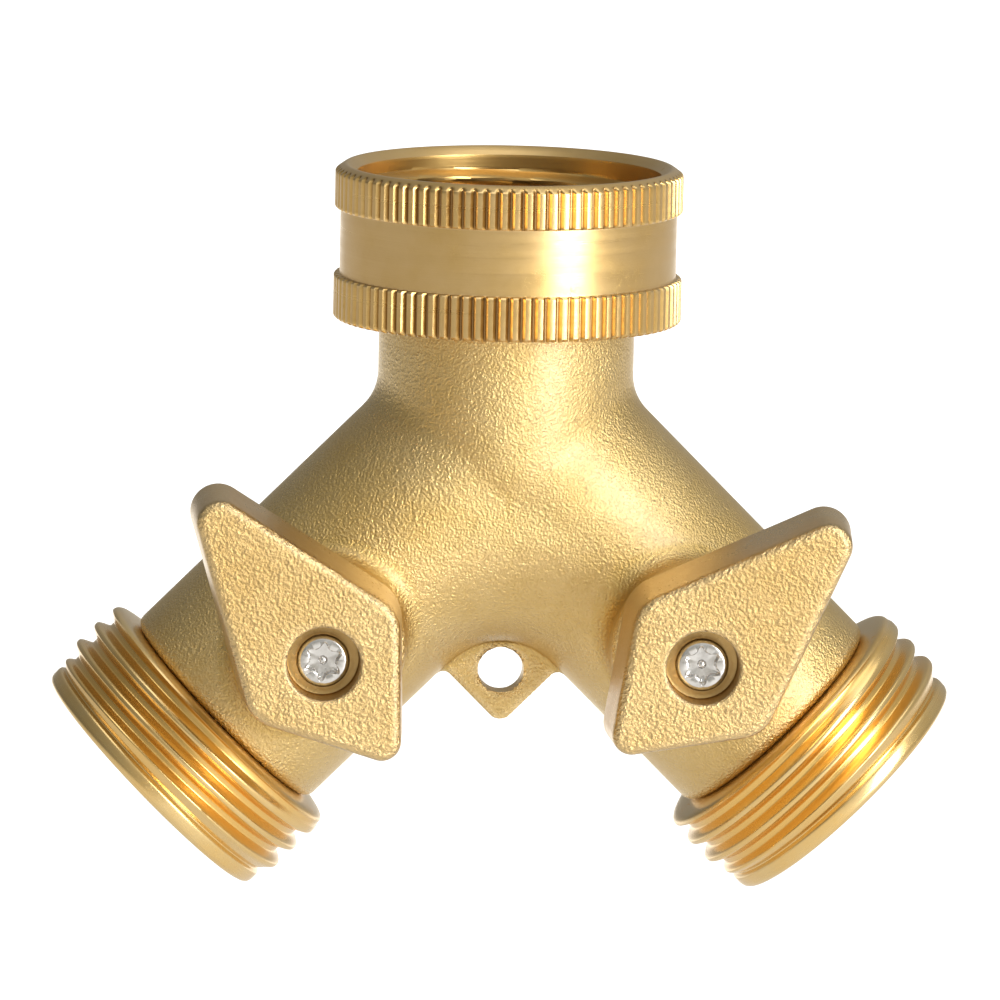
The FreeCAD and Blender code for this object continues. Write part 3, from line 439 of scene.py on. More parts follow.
def body_field(points, sizes):
    """Signed distance to the forged body: neck, two legs, bend, bosses, tab, spigot and stop pins joined
    with fillets, less the waterways, valve chambers, outlet sockets, stem bores and the tab's hole."""
    leg_radius = sizes.leg_radius / MM
    edge = sizes.leg_end_round / MM
    legs = filleted(*(leg_solid(points, side, leg_radius, edge) for _, side in SIDES), CROTCH_FILLET)
    bend = bend_solid(points, legs, leg_radius, sizes.bend_radius / MM)
    solid = filleted(legs, bend, sizes.bend_fillet / MM)
    solid = filleted(solid, neck_solid(points, sizes.neck_radius / MM), sizes.neck_fillet / MM)
    for _, side in SIDES:
        solid = filleted(solid, boss_solid(points, side), sizes.boss_fillet / MM)
    solid = filleted(solid, tab_solid(points, sizes.tab_round / MM), TAB_FILLET)[0]
    across = np.hypot(points[:, 0], points[:, 1])
    height = points[:, 2]
    spigot = np.maximum(round_post(across, height, SPIGOT_RADIUS, SPIGOT_TOP, 0.25), JUNCTION_Z - height)
    groove = np.maximum(np.abs(height - RING_GROOVE_Z) - RING_GROOVE_HALF, RING_GROOVE_FLOOR - across)
    solid = np.minimum(solid, drilled(spigot, groove, 0.1))
    for _, side in SIDES:
        off = np.hypot(points[:, 0] - side * BALL_X, height - BALL_Z + PIN_BELOW_AXIS)
        pin = round_post(off, -points[:, 1], PIN_RADIUS, PIN_TOP, 0.2)
        solid = np.minimum(solid, np.maximum(pin, points[:, 1] + PIN_FOOT))
    return carve(solid, points, across, height, sizes.drill_edge / MM)


def carve(solid, points, across, height, edge):
    """The drilled and bored holes taken out of the solid."""
    holes = np.maximum(across - INLET_BORE, JUNCTION_Z - height)
    for _, side in SIDES:
        along, arrow = leg_places(points, side)
        off = np.linalg.norm(arrow, axis=1)
        for radius, start in LEG_BORES:
            holes = np.minimum(holes, np.maximum(off - radius, start - along))
        stem = np.hypot(points[:, 0] - side * BALL_X, height - BALL_Z)
        holes = np.minimum(holes, np.maximum(stem - STEM_BORE, points[:, 1]))
        collar = np.maximum(np.maximum(stem - COLLAR_BORE, points[:, 1]), -points[:, 1] - COLLAR_BORE_TOP)
        holes = np.minimum(holes, collar)
    holes = np.minimum(holes, np.hypot(points[:, 0], height - TAB_HOLE_Z) - TAB_HOLE_RADIUS)
    return drilled(solid, holes, edge)


def slope(points, sizes, step=0.02):
    """The field and its slope, from the rise over a short step along each axis."""
    here = body_field(points, sizes)
    rises = [body_field(points + step * np.eye(3)[axis], sizes) - here for axis in range(3)]
    return here, np.stack(rises, -1) / step


def skin(field, low, high, cell):
    """A closed skin on the zero level of a field. Each grid cell that the level passes through gets one
    point, the mean of the crossings on its edges; each crossed grid edge gets a quad of the four
    points round it."""
    axes = [np.arange(start, end + cell, cell) for start, end in zip(low, high)]
    shape = tuple(len(axis) for axis in axes)
    grid = np.stack(np.meshgrid(*axes, indexing="ij"), -1)
    value = np.concatenate([field(part.reshape(-1, 3)) for part in np.array_split(grid, 12)]).reshape(shape)
    cells = tuple(count - 1 for count in shape)
    total, hits = np.zeros(cells + (3,)), np.zeros(cells)
    crossed_edges = []
    for axis in range(3):
        a, b = np.moveaxis(value, axis, 0)[:-1], np.moveaxis(value, axis, 0)[1:]
        crossed = np.moveaxis((a < 0) != (b < 0), 0, axis)
        share = np.moveaxis(a / np.where(a == b, 1, a - b), 0, axis)
        start = np.moveaxis(np.moveaxis(grid, axis, 0)[:-1], 0, axis)
        spot = start + (share * cell)[..., None] * np.eye(3)[axis]
        outwards = np.moveaxis(a < 0, 0, axis)
        crossed_edges.append((crossed, outwards))
        first, second = (axis + 1) % 3, (axis + 2) % 3
        for shift_one in (0, 1):
            for shift_two in (0, 1):
                window = [slice(None)] * 3
                window[first] = slice(shift_one, shift_one + cells[first])
                window[second] = slice(shift_two, shift_two + cells[second])
                window = tuple(window)
                total += spot[window] * crossed[window][..., None]
                hits += crossed[window]
    used = hits > 0
    number = np.full(cells, -1)
    number[used] = np.arange(used.sum())
    points = total[used] / hits[used][:, None]
    quads = []
    for axis, (crossed, outwards) in enumerate(crossed_edges):
        place = np.argwhere(crossed)
        first, second = np.eye(3, dtype=int)[(axis + 1) % 3], np.eye(3, dtype=int)[(axis + 2) % 3]
        around = [place - first - second, place - second, place, place - first]
        quad = np.stack([number[tuple(corner.T)] for corner in around], -1)
        out = outwards[tuple(place.T)]
        quads.append(np.where(out[:, None], quad, quad[:, ::-1]))
    return points, np.concatenate(quads)


def relaxed(points, quads, sizes):
    """Points evened out along the surface and put back on it: each moves halfway to the mean of its
    neighbours, then down the field's slope to the zero level; repeated."""
    pairs = np.concatenate([quads[:, [i, (i + 1) % 4]] for i in range(4)])
    ends = np.concatenate([pairs[:, 0], pairs[:, 1]])
    others = np.concatenate([pairs[:, 1], pairs[:, 0]])
    counts = np.bincount(ends, minlength=len(points))
    for even in (0.5, 0.5, 0.4, 0.0):
        mean = np.stack([np.bincount(ends, points[others, axis], len(points)) for axis in range(3)], -1)
        points = points + even * (mean / counts[:, None] - points)
        here, rise = slope(points, sizes)
        push = here / np.maximum(np.einsum("ij,ij->i", rise, rise), 0.25)
        points = points - np.clip(push, -0.2, 0.2)[:, None] * rise
    return points


def rounding(points, sizes, step=0.45):
    """How sharply the surface is rounded outwards at each point: the field's mean rise over a step in
    the six directions, less the field there."""
    rings = sum(
        body_field(points + sign * step * np.eye(3)[axis], sizes) for axis in range(3) for sign in (-1, 1)
    )
    return (rings - 6 * body_field(points, sizes)) / step**2


class HOSE_SPLITTER_OT_body(bpy.types.Operator):
    """Skin the forged Y body with its fillets and drilled holes"""

    bl_idname = "hose_splitter.body"
    bl_label = "Body"

    def execute(self, context):
        settings = context.scene.hose_splitter
        sizes = settings.body
        cell = sizes.cell / MM
        points, quads = skin(lambda places: body_field(places, sizes), SKIN_LOW, SKIN_HIGH, cell)
        points = relaxed(points, quads, sizes)
        curve = rounding(points, sizes)
        edge = np.clip((curve - 0.3) / 1.2, 0, 1)
        # Concave places: the finish darkens them, painted shade in the hollows.
        shade_mask = np.clip((-curve - 0.1) / 0.8, 0, 1)
        piece = build("forged_body", points, quads, points, edge, shade_mask, sharp=50)
        finish_piece(piece, cast_brass(settings.finish), "forged_brass", "splitter_body", "body")
        return {"FINISHED"}


# ---- swivel nut


def fade(value, start, end):
    """0 before start, 1 after end, and a smooth step between."""
    share = np.clip((value - start) / (end - start), 0, 1)
    return share * share * (3 - 2 * share)


def knurl_columns(teeth, top):
    """Angles round the knurl and the depth there from 0 to 1: flat on the tooth's top, a straight flank
    down to a narrow root, and the same up again, eight columns for each tooth."""
    half = top / 2
    within = np.array([-half, -0.4 * half, 0.4 * half, half, half + 0.14, 0.45, 0.55, 0.86 - half])
    depth = np.clip((np.abs((within + 0.5) % 1 - 0.5) - half) / (0.45 - half), 0, 1)
    depth[[0, 3]] = 0.04
    angles = (np.arange(teeth)[:, None] + within) * 2 * math.pi / teeth
    return angles.ravel(), np.tile(depth, teeth)


def inner_thread(height, angle, sizes):
    """Radius of the nut's thread: root radius in the groove, crest radius beside it, straight flanks
    between. The groove's middle climbs one pitch in a turn."""
    crest, root = sizes.thread_crest / MM, sizes.thread_root / MM
    turns = (height + 8.94) / THREAD_PITCH - angle / (2 * math.pi)
    off_middle = np.abs((turns + 0.5) % 1 - 0.5) * THREAD_PITCH
    share = fade(0.96 - off_middle, 0, 0.66)
    return crest + (root - crest) * share


def nut_rings(sizes):
    """Rings of the swivel nut, from the mouth down the outside and up the inside. Radius is the turned
    profile, less the knurl's depth in the two raised bands; in the mouth it is the thread."""
    band, rim, knurl = sizes.band_radius / MM, sizes.rim_radius / MM, sizes.knurl_radius / MM
    depth = sizes.knurl_depth / MM
    angles, wave = knurl_columns(sizes.teeth, sizes.tooth_top)
    outside = [
        (14.5, 0.0, 0), (14.62, 0.0, 0), (rim - 0.38, -0.01, 0), (rim - 0.3, -0.05, 0),
        (rim - 0.1, -0.18, 0)
    ]
    outside += [
        (rim + 0.03, -0.27, 0), (rim + 0.15, -0.36, 0.24), (rim + 0.3, -0.47, 0.6),
        (rim + 0.4, -0.55, 0.9)
    ]
    outside += [(knurl - 0.02, -0.62, 1), (knurl, -0.72, 1), (knurl, -0.95, 1), (knurl, -1.3, 1)]
    outside += [(knurl, z, 1) for z in (-1.8, -2.3, -2.8, -3.3, -3.6)]
    outside += [(knurl, -3.76, 1), (knurl - 0.12, -3.89, 0.8), (band, -3.95, 0), (band, -4.1, 0)]
    outside += [(band, z, 0) for z in (-5.0, -6.0, -7.0, -8.0, -9.0, -9.7)]
    outside += [(band, -9.83, 0), (knurl - 0.12, -9.89, 0.8), (knurl, -10.02, 1), (knurl, -10.3, 1)]
    outside += [(knurl, z, 1) for z in (-11.0, -11.7, -12.4, -13.0, -13.4)]
    outside += [
        (knurl, -13.58, 1), (knurl - 0.1, -13.72, 0.8), (knurl - 0.3, -13.84, 0.3),
        (knurl - 0.45, -13.86, 0)
    ]
    outside += [(r, -13.86, 0) for r in (14.0, 12.0, 10.4)]
    outside += [(10.15, -13.8, 0), (10.1, -13.7, 0), (10.1, -13.2, 0), (10.1, -12.8, 0), (10.2, -12.7, 0)]
    outside += [(r, -12.7, 0) for r in (11.5, 13.0, 13.6)]
    outside += [
        (13.75, -12.55, 0), (13.75, -11.5, 0), (13.75, -10.0, 0), (13.75, -8.2, 0),
        (13.68, -8.02, 0)
    ]
    radius, height, share = (np.array(column)[:, None] for column in zip(*outside))
    around = radius - depth * wave * share
    heights = np.linspace(-8.0, -1.9, 40)[:, None]
    thread = inner_thread(heights, angles, sizes)
    top = np.array(
        [
            (13.62, -1.84), (13.62, -1.6), (13.62, -1.1), (13.62, -0.8), (13.63, -0.73),
            (13.9, -0.5), (14.46, -0.02)
        ]
    )
    ones = np.ones_like(angles)
    around = np.concatenate([around, thread, top[:, :1] * ones])
    height = np.concatenate([height * ones, heights * ones, top[:, 1:] * ones])
    bore = np.concatenate([np.zeros(len(outside)), np.ones(len(heights) + 4), np.zeros(3)])
    return np.stack([around * np.cos(angles), around * np.sin(angles), height], -1), bore, wave


class HOSE_SPLITTER_OT_nut(bpy.types.Operator):
    """Make the knurled swivel nut with its inner thread"""

    bl_idname = "hose_splitter.nut"
    bl_label = "Swivel nut"

    def execute(self, context):
        settings = context.scene.hose_splitter
        rings, bore, wave = nut_rings(settings.nut)
        rows, columns = rings.shape[:2]
        points = rings.reshape(-1, 3)
        radius = np.hypot(points[:, 0], points[:, 1])
        edge = np.repeat(np.clip(1.5 * bend_measure(rings), 0, 1), columns) * (radius > 14)
        # The knurl's grooves and the inside of the mouth: hollows that the finish darkens as painted shade.
        shade_mask = np.tile(wave, rows) * (radius > 15.1) + 0.45 * np.repeat(bore, columns)
        piece = build("swivel_nut", points, ring_quads(rows, columns, True), points, edge, shade_mask, sharp=32)
        finish_piece(piece, turned_brass(settings.finish), "turned_brass", "inlet_nut", "swivel_nut")
        return {"FINISHED"}


# ---- threaded outlets


def outlet_rings(sizes, columns=384):
    """Rings of an outlet fitting in its leg's own frame, from the nose along the outside to the mouth and
    back up the bore. Radius is the turned profile, less the thread: a rounded groove whose middle
    climbs one pitch in a turn, fading in behind the collar and out before the end ring. The key's
    socket is a hexagon: half its width over the cosine of the angle to the nearest flat."""
    crest, land, bore = sizes.crest_radius / MM, sizes.land_radius / MM, sizes.bore_radius / MM
    angles = np.arange(columns) * 2 * math.pi / columns
    nose = [
        (4.8, 30.6), (4.9, 30.55), (6.5, 30.55), (8.7, 30.55), (8.85, 30.7), (8.85, 31.2),
        (8.85, 31.58)
    ]
    nose += [
        (7.5, 31.62), (7.47, 32.5), (7.5, 33.38), (8.85, 33.42), (8.85, 34.3), (8.85, 35.25),
        (8.95, 35.3)
    ]
    collar = [(10.9, 35.32), (11.6, 35.34), (12.5, 35.4), (12.95, 35.5), (13.15, 35.65), (13.24, 35.8)]
    lengths = np.arange(36.0, 43.25, 0.085)
    ring_foot = land - 0.42 * np.exp(-(((lengths - 42.75) / 0.22) ** 2))
    envelope = 13.3 + (crest - 13.3) * fade(
        lengths, 36.0, 36.6
    ) + (ring_foot - crest) * fade(lengths, 41.5, 42.6)
    middle = sizes.first_groove / MM
    turns = (lengths[:, None] - middle) / THREAD_PITCH - angles / (2 * math.pi)
    whole = np.round(turns)
    groove_at = middle + THREAD_PITCH * (whole + angles / (2 * math.pi))
    off_middle = np.abs(turns - whole) * THREAD_PITCH
    shape = fade(1.0 - off_middle, 0, 0.82)
    strength = fade(groove_at, 35.7, 36.7) * (1 - fade(groove_at, 42.0, 42.7))
    floor = crest - sizes.thread_depth / MM
    thread = envelope[:, None] - np.maximum(envelope[:, None] - floor, 0) * shape * strength
    mouth = [
        (land, 43.4), (land, 43.8), (land - 0.02, 44.0), (land - 0.1, 44.22), (land - 0.28, 44.4),
        (land - 0.55, 44.49)
    ]
    mouth += [
        (land - 0.9, 44.5), (11.0, 44.5), (9.6, 44.5), (bore + 0.35, 44.5), (bore + 0.12, 44.42),
        (bore, 44.25)
    ]
    mouth += [
        (bore, 43.0), (bore, 41.0), (bore, 39.0), (bore - 0.02, 38.1), (bore - 0.15, 38.0),
        (7.4, 38.0)
    ]
    across = 6.0 / np.cos((angles + math.pi / 6) % (math.pi / 3) - math.pi / 6)
    throat = [(4.95, 34.6), (4.8, 34.5), (4.8, 33.0), (4.8, 31.5)]
    ones = np.ones_like(angles)
    start = np.array(nose + collar)
    middle_part = np.array(mouth)
    end = np.array(throat)
    key_levels = np.array([38.0, 37.9, 36.5, 34.7, 34.6])[:, None]
    key_scale = np.array([1.02, 1.0, 1.0, 1.0, 0.98])[:, None]
    radius = [start[:, :1] * ones, thread, middle_part[:, :1] * ones, across * key_scale, end[:, :1] * ones]
    along = [
        start[:, 1:] * ones, lengths[:, None] * ones, middle_part[:, 1:] * ones, key_levels * ones,
        end[:, 1:] * ones
    ]
    groove = [
        0 * start[:, :1] * ones, shape * strength, 0 * middle_part[:, :1] * ones,
        0 * across * key_scale + 0.4, 0 * end[:, :1] * ones
    ]
    radius, along, groove = (np.concatenate(part) for part in (radius, along, groove))
    return np.stack([radius * np.cos(angles), radius * np.sin(angles), along], -1), groove


class HOSE_SPLITTER_OT_outlets(bpy.types.Operator):
    """Make the two threaded outlets with their bores and key sockets"""

    bl_idname = "hose_splitter.outlets"
    bl_label = "Threaded outlets"

    def execute(self, context):
        settings = context.scene.hose_splitter
        material = thread_brass(settings.finish)
        rings, groove = outlet_rings(settings.outlet)
        rows, columns = rings.shape[:2]
        own = rings.reshape(-1, 3)
        quads = ring_quads(rows, columns, True)
        edge = np.repeat(np.clip(2 * bend_measure(rings), 0, 1), columns) * (own[:, 2] > 43)
        for name, side in SIDES:
            points = from_leg(own, side)
            # The thread's grooves and the key socket: hollows that the finish darkens as painted shade.
            piece = build(f"{name}_outlet", points, quads, own, edge, groove.ravel(), sharp=45)
            finish_piece(piece, material, "thread_brass", "splitter_body", f"{name}_outlet_fitting")
        return {"FINISHED"}


# ---- lever handles


def kite(sizes, arc_points=20, side_points=30):
    """Outline of a handle's front face with its outward directions: a kite with straight sides, each
    corner an arc tangent to the two sides that meet there."""
    shift = sizes.side_shift / MM
    half = sizes.half_width / MM
    corners = np.array([[sizes.tip / MM, 0], [-shift, half], [-sizes.heel / MM, 0], [-shift, -half]])
    rounds = np.array([sizes.tip_round, sizes.side_round, sizes.heel_round, sizes.side_round]) / MM
    into = unit(corners - np.roll(corners, 1, 0))
    out_of = np.roll(into, -1, 0)
    normal_in = np.stack([into[:, 1], -into[:, 0]], -1)
    normal_out = np.stack([out_of[:, 1], -out_of[:, 0]], -1)
    half_turn = np.arccos(np.einsum("ij,ij->i", into, out_of)) / 2
    centres = corners - unit(normal_in + normal_out) * (rounds / np.cos(half_turn))[:, None]
    starts = np.arctan2(normal_in[:, 1], normal_in[:, 0])
    turn = (np.arctan2(normal_out[:, 1], normal_out[:, 0]) - starts) % (2 * math.pi)
    angles = starts[:, None] + turn[:, None] * np.linspace(0, 1, arc_points)
    arc_normals = np.stack([np.cos(angles), np.sin(angles)], -1)
    arcs = centres[:, None] + rounds[:, None, None] * arc_normals
    share = np.linspace(0, 1, side_points + 2)[1:-1, None]
    next_start = np.roll(arcs[:, 0], -1, 0)[:, None]
    sides = arcs[:, -1][:, None] * (1 - share) + next_start * share
    side_normals = np.repeat(normal_out[:, None], side_points, 1)
    outline = np.concatenate([arcs, sides], 1).reshape(-1, 2)
    normals = np.concatenate([arc_normals, side_normals], 1).reshape(-1, 2)
    return outline, normals


def handle_rings(sizes):
    """Rings of a handle in its valve's own frame. From the square hole they go up through the screw's
    hole and well, out over the flat face, round the soft front edge, down the drafted side and in
    under the foot past the track of the stop pin. On the side a ring is outline + offset times the
    outward direction, and the offset grows by the tangent of the draft."""
    outline, normals = kite(sizes)
    angle = np.arctan2(outline[:, 1], outline[:, 0])
    circle = np.stack([np.cos(angle), np.sin(angle)], -1)
    square = circle * (2.05 / np.abs(circle).max(1))[:, None]
    ones = np.ones(len(outline))
    draft = math.tan(sizes.draft)
    well = sizes.well_radius / MM
    soft = sizes.soft_edge / MM
    inset = soft * math.tan((math.pi / 2 - sizes.draft) / 2)
    rings, edge = [], []

    def ring(flat, level, raised=0.0):
        rings.append(np.concatenate([flat, (level * ones)[:, None]], 1))
        edge.append(raised * ones)

    ring(square, HANDLE_FOOT + 0.02)
    ring(square, WEB_FOOT - 0.02)
    ring(circle * 1.8, WEB_FOOT)
    ring(circle * 1.6, WEB_FOOT + 0.05)
    ring(circle * 1.6, WELL_FLOOR - 0.05)
    for radius in (1.7, 2.3, 2.8, well - 0.25):
        ring(circle * radius, WELL_FLOOR)
    ring(circle * (well - 0.07), WELL_FLOOR + 0.06)
    for level in (0.25, 0.9, 1.7, 2.5, 3.0):
        ring(circle * well, WELL_FLOOR + level)
    ring(circle * (well + 0.03), HANDLE_FACE - 0.16, 0.6)
    ring(circle * (well + 0.12), HANDLE_FACE - 0.04, 1.0)
    ring(circle * (well + 0.26), HANDLE_FACE, 0.5)
    face_edge = outline - inset * normals
    for share in (0.06, 0.16, 0.3, 0.45, 0.6, 0.75, 0.88, 0.96):
        ring(circle * (well + 0.26) * (1 - share) + face_edge * share, HANDLE_FACE, 0)
    ring(face_edge, HANDLE_FACE, 0.25)
    for turn in np.radians([12, 24, 36, 48, 60, 72, 84]):
        ring(
            outline + (soft * math.sin(turn) - inset) * normals,
            HANDLE_FACE - soft + soft * math.cos(turn), math.sin(2 * turn)
        )
    for drop in (1.2, 2.0, 3.0, 4.0, 5.0, 6.0, 7.0, 7.8, 8.1):
        ring(outline + drop * draft * normals, HANDLE_FACE - drop)
    ring(outline + (8.25 * draft - 0.04) * normals, HANDLE_FOOT + 0.05, 0.8)
    ring(outline + (8.3 * draft - 0.2) * normals, HANDLE_FOOT, 0.4)
    under = HANDLE_FOOT * ones
    deep = under + 1.15 * (np.abs(np.abs(np.degrees(angle)) - 180) < 56.2)
    for radius, level in ((6.62, under), (6.55, deep), (4.25, deep), (4.18, under), (3.2, under)):
        ring(circle * radius, level)
    return np.stack(rings), np.stack(edge)


class HOSE_SPLITTER_OT_handles(bpy.types.Operator):
    """Make the two kite-shaped lever handles"""

    bl_idname = "hose_splitter.handles"
    bl_label = "Handles"

    def execute(self, context):
        settings = context.scene.hose_splitter
        material = handle_brass(settings.finish)
        rings, edge = handle_rings(settings.handle)
        rows, columns = rings.shape[:2]
        own = rings.reshape(-1, 3)
        # The wall of the screw's well: a hollow that the finish darkens as painted shade.
        shade_mask = np.exp(
            -(((np.hypot(own[:, 0], own[:, 1]) - 3.1) / 0.35) ** 2)
        ) * (own[:, 2] < HANDLE_FACE - 0.3) * (own[:, 2] > WEB_FOOT)
        quads = ring_quads(rows, columns, True)
        for name, side in SIDES:
            piece = build(
                f"{name}_lever", from_valve(own, side), quads, own, edge.ravel(), shade_mask, sharp=40
            )
            finish_piece(piece, material, "handle_brass", f"{name}_valve", f"{name}_handle")
        return {"FINISHED"}


# ---- handle screws


def screw_rings(sizes, turn, columns=144):
    """Rings of a handle screw in its valve's own frame: shank, flat underside, domed head and, inside it,
    a six-lobed star recess whose radius is a middle radius plus a lobe times the cosine of six angles."""
    angles = np.arange(columns) * 2 * math.pi / columns
    head = sizes.head_radius / MM
    star = sizes.star_radius / MM + sizes.star_lobe / MM * np.cos(6 * (angles - turn))
    star = star + 0.06 * np.cos(12 * (angles - turn))
    depth = sizes.star_depth / MM
    top = WELL_FLOOR + 1.75
    ones = np.ones_like(angles)
    plain = [
        (0.0, WEB_FOOT - 5.4), (1.2, WEB_FOOT - 5.4), (1.4, WEB_FOOT - 5.2),
        (1.4, WELL_FLOOR - 0.03), (1.45, WELL_FLOOR + 0.01)
    ]
    plain += [(head - 0.06, WELL_FLOOR + 0.01), (head, WELL_FLOOR + 0.07), (head, WELL_FLOOR + 0.7)]
    plain += [
        (head - 0.01, top - 0.7), (head - 0.04, top - 0.5), (head - 0.11, top - 0.32),
        (head - 0.22, top - 0.18)
    ]
    plain += [(head - 0.36, top - 0.09), (head - 0.48, top - 0.05)]
    radius = [r * ones for r, _ in plain]
    level = [z * ones for _, z in plain]
    for scale, drop in (
        (1.06, 0.02), (1.03, 0.04), (1.0, 0.1), (0.98, 0.3), (0.95, depth - 0.08), (0.88, depth),
        (0.6, depth + 0.02)
    ):
        radius.append(np.minimum(star * scale, head - 0.5))
        level.append((top - drop) * ones)
    for r, drop in ((0.42, depth + 0.03), (0.3, depth - 0.12), (0.16, depth - 0.2), (0.0, depth - 0.22)):
        radius.append(r * ones)
        level.append((top - drop) * ones)
    radius, level = np.stack(radius), np.stack(level)
    return np.stack([radius * np.cos(angles), radius * np.sin(angles), level], -1)


class HOSE_SPLITTER_OT_screws(bpy.types.Operator):
    """Make the two chromed star-head handle screws"""

    bl_idname = "hose_splitter.screws"
    bl_label = "Handle screws"

    def execute(self, context):
        settings = context.scene.hose_splitter
        material = chromed(settings.finish, "chromed_screw", 0.16, 0.00003)
        for name, side in SIDES:
            rings = screw_rings(settings.screw, SCREW_TURN[side])
            rows, columns = rings.shape[:2]
            quads = ring_quads(rows, columns, False)
            own = rings.reshape(-1, 3)
            own, quads = with_poles(own, quads, rows, columns)
            piece = build(
                f"{name}_screw", from_valve(own, side), quads, own, np.zeros(len(own)), None,
                sharp=35
            )
            finish_piece(piece, material, "chromed_screw", f"{name}_valve", f"{name}_handle_screw")
        return {"FINISHED"}


def with_poles(points, quads, rows, columns):
    """The same grid with its first and last ring, each drawn in to a point, made one point apiece."""
    last = (rows - 1) * columns
    number = np.arange(len(points))
    number[:columns] = 0
    number[columns:last] = np.arange(1, last - columns + 1)
    number[last:] = last - columns + 1
    kept = np.concatenate([[0], np.arange(columns, last), [last]])
    return points[kept], number[quads]


# ---- node groups and finishes


class Board:
    """Adds nodes to a tree and wires them: an input that is a socket is linked, any other is its value."""

    def __init__(self, tree):
        self.tree = tree
        self.count = 0

    def add(self, kind, inputs=None, **settings):
        node = self.tree.nodes.new(kind)
        node.location = (220 * (self.count % 8), -260 * (self.count // 8))
        self.count += 1
        for name, value in settings.items():
            setattr(node, name, value)
        for name, value in (inputs or {}).items():
            self.give(value, node.inputs[name])
        return node

    def give(self, value, socket):
        if isinstance(value, bpy.types.NodeSocket):
            self.tree.links.new(value, socket)
        else:
            socket.default_value = value

    def math(self, operation, a, b=0.0, clamp=False):
        return self.add("ShaderNodeMath", {0: a, 1: b}, operation=operation, use_clamp=clamp).outputs[0]

    def ramp(self, value, low, high, to_low=0.0, to_high=1.0):
        inputs = {"Value": value, "From Min": low, "From Max": high, "To Min": to_low, "To Max": to_high}
        return self.add("ShaderNodeMapRange", inputs, interpolation_type="SMOOTHSTEP").outputs["Result"]

    def mixed(self, share, one, other):
        node = self.add("ShaderNodeMix", data_type="RGBA")
        for socket, value in ((node.inputs[0], share), (node.inputs[6], one), (node.inputs[7], other)):
            self.give(value, socket)
        return node.outputs[2]

    def noise(self, vector, scale, detail=2.0, roughness=0.55):
        inputs = {"Vector": vector, "Scale": scale, "Detail": detail, "Roughness": roughness}
        return self.add("ShaderNodeTexNoise", inputs).outputs["Fac"]


def group(name, sockets_in, sockets_out):
    """A new node group with named inputs and outputs; returns it with its input sockets and a Board."""
    tree = bpy.data.node_groups.new(name, "ShaderNodeTree")
    for title, kind, value in sockets_in:
        socket = tree.interface.new_socket(name=title, in_out="INPUT", socket_type=kind)
        if value is not None:
            socket.default_value = value
    for title, kind in sockets_out:
        tree.interface.new_socket(name=title, in_out="OUTPUT", socket_type=kind)
    return tree, tree.nodes.new("NodeGroupInput").outputs, Board(tree)


def put_out(tree, **results):
    """Wire a group's results to its outputs."""
    end = tree.nodes.new("NodeGroupOutput")
    for name, socket in results.items():
        tree.links.new(socket, end.inputs[name])


def made_once(name):
    """Make a node group the first time it is asked for, and find it again after that."""

    def wrap(make):
        def find_or_make():
            return bpy.data.node_groups.get(name) or make(name)

        find_or_make.__doc__ = make.__doc__
        return find_or_make

    return wrap


FLOAT, VECTOR, TINT = "NodeSocketFloat", "NodeSocketVector", "NodeSocketColor"


@made_once("Blasted grain")
def blasted_grain(name):
    """Shot-blasted metal: small raised grains with dimples between them, and bright flecks."""
    tree, given, board = group(
        name, [("Position", VECTOR, None), ("Grains per metre", FLOAT, 2800.0)],
        [("Height", FLOAT), ("Fleck", FLOAT)]
    )
    fine = board.noise(given["Position"], given["Grains per metre"], 3.0, 0.6)
    wide = board.math("MULTIPLY", given["Grains per metre"], 0.42)
    soft = board.noise(given["Position"], wide, 2.0)
    inputs = {"Vector": given["Position"], "Scale": given["Grains per metre"]}
    dimple = board.add("ShaderNodeTexVoronoi", inputs, feature="SMOOTH_F1").outputs["Distance"]
    height = board.math("ADD", board.math("MULTIPLY", fine, 0.9), board.math("MULTIPLY", dimple, 0.5))
    height = board.math("ADD", height, board.math("MULTIPLY", soft, 0.45))
    fleck = board.ramp(board.math("ADD", fine, board.math("MULTIPLY", dimple, 0.25)), 0.62, 0.82)
    put_out(tree, Height=height, Fleck=fleck)
    return tree


@made_once("Turned lines")
def turned_lines(name):
    """Fine lines left by turning on a lathe: noise drawn out round the piece's own axis."""
    tree, given, board = group(
        name, [("Position", VECTOR, None), ("Lines per metre", FLOAT, 9000.0)],
        [("Height", FLOAT), ("Tone", FLOAT)]
    )
    squash = board.add(
        "ShaderNodeVectorMath", {0: given["Position"], 1: (0.012, 0.012, 1.0)}, operation="MULTIPLY"
    ).outputs[0]
    fine = board.noise(squash, given["Lines per metre"], 3.0, 0.7)
    wide = board.math("MULTIPLY", given["Lines per metre"], 0.17)
    slow = board.noise(squash, wide, 2.0)
    put_out(tree, Height=board.math("ADD", fine, board.math("MULTIPLY", slow, 0.6)), Tone=slow)
    return tree


@made_once("Brass tone")
def brass_tone(name):
    """Colour of brass that is paler here and deeper there, deeper still in hollows and paler on edges."""
    inputs = [
        ("Position", VECTOR, None), ("Pale", TINT, None), ("Deep", TINT, None),
        ("Patches per metre", FLOAT, 90.0)
    ]
    inputs += [
        ("Edge", FLOAT, 0.0), ("Hollow shade", FLOAT, 0.0), ("Variation", FLOAT, 0.0),
        ("Painted shade", FLOAT, 0.0)
    ]
    tree, given, board = group(name, inputs, [("Colour", TINT), ("Patch", FLOAT)])
    patch = board.noise(given["Position"], given["Patches per metre"], 4.0, 0.6)
    deep = board.math(
        "ADD", board.ramp(patch, 0.2, 0.85, 0.1, 0.9),
        board.math("MULTIPLY", given["Variation"], 0.35)
    )
    # Painted shade: hollows take the deeper tone.
    deep = board.math("SUBTRACT", board.math("ADD", deep, given["Hollow shade"]), given["Edge"], clamp=True)
    clean = board.mixed(deep, given["Pale"], given["Deep"])
    # Painted shade: dark brown mixed in.
    with_painted_shade = board.mixed(given["Painted shade"], clean, (0.27, 0.14, 0.04, 1))
    put_out(tree, Colour=with_painted_shade, Patch=patch)
    return tree


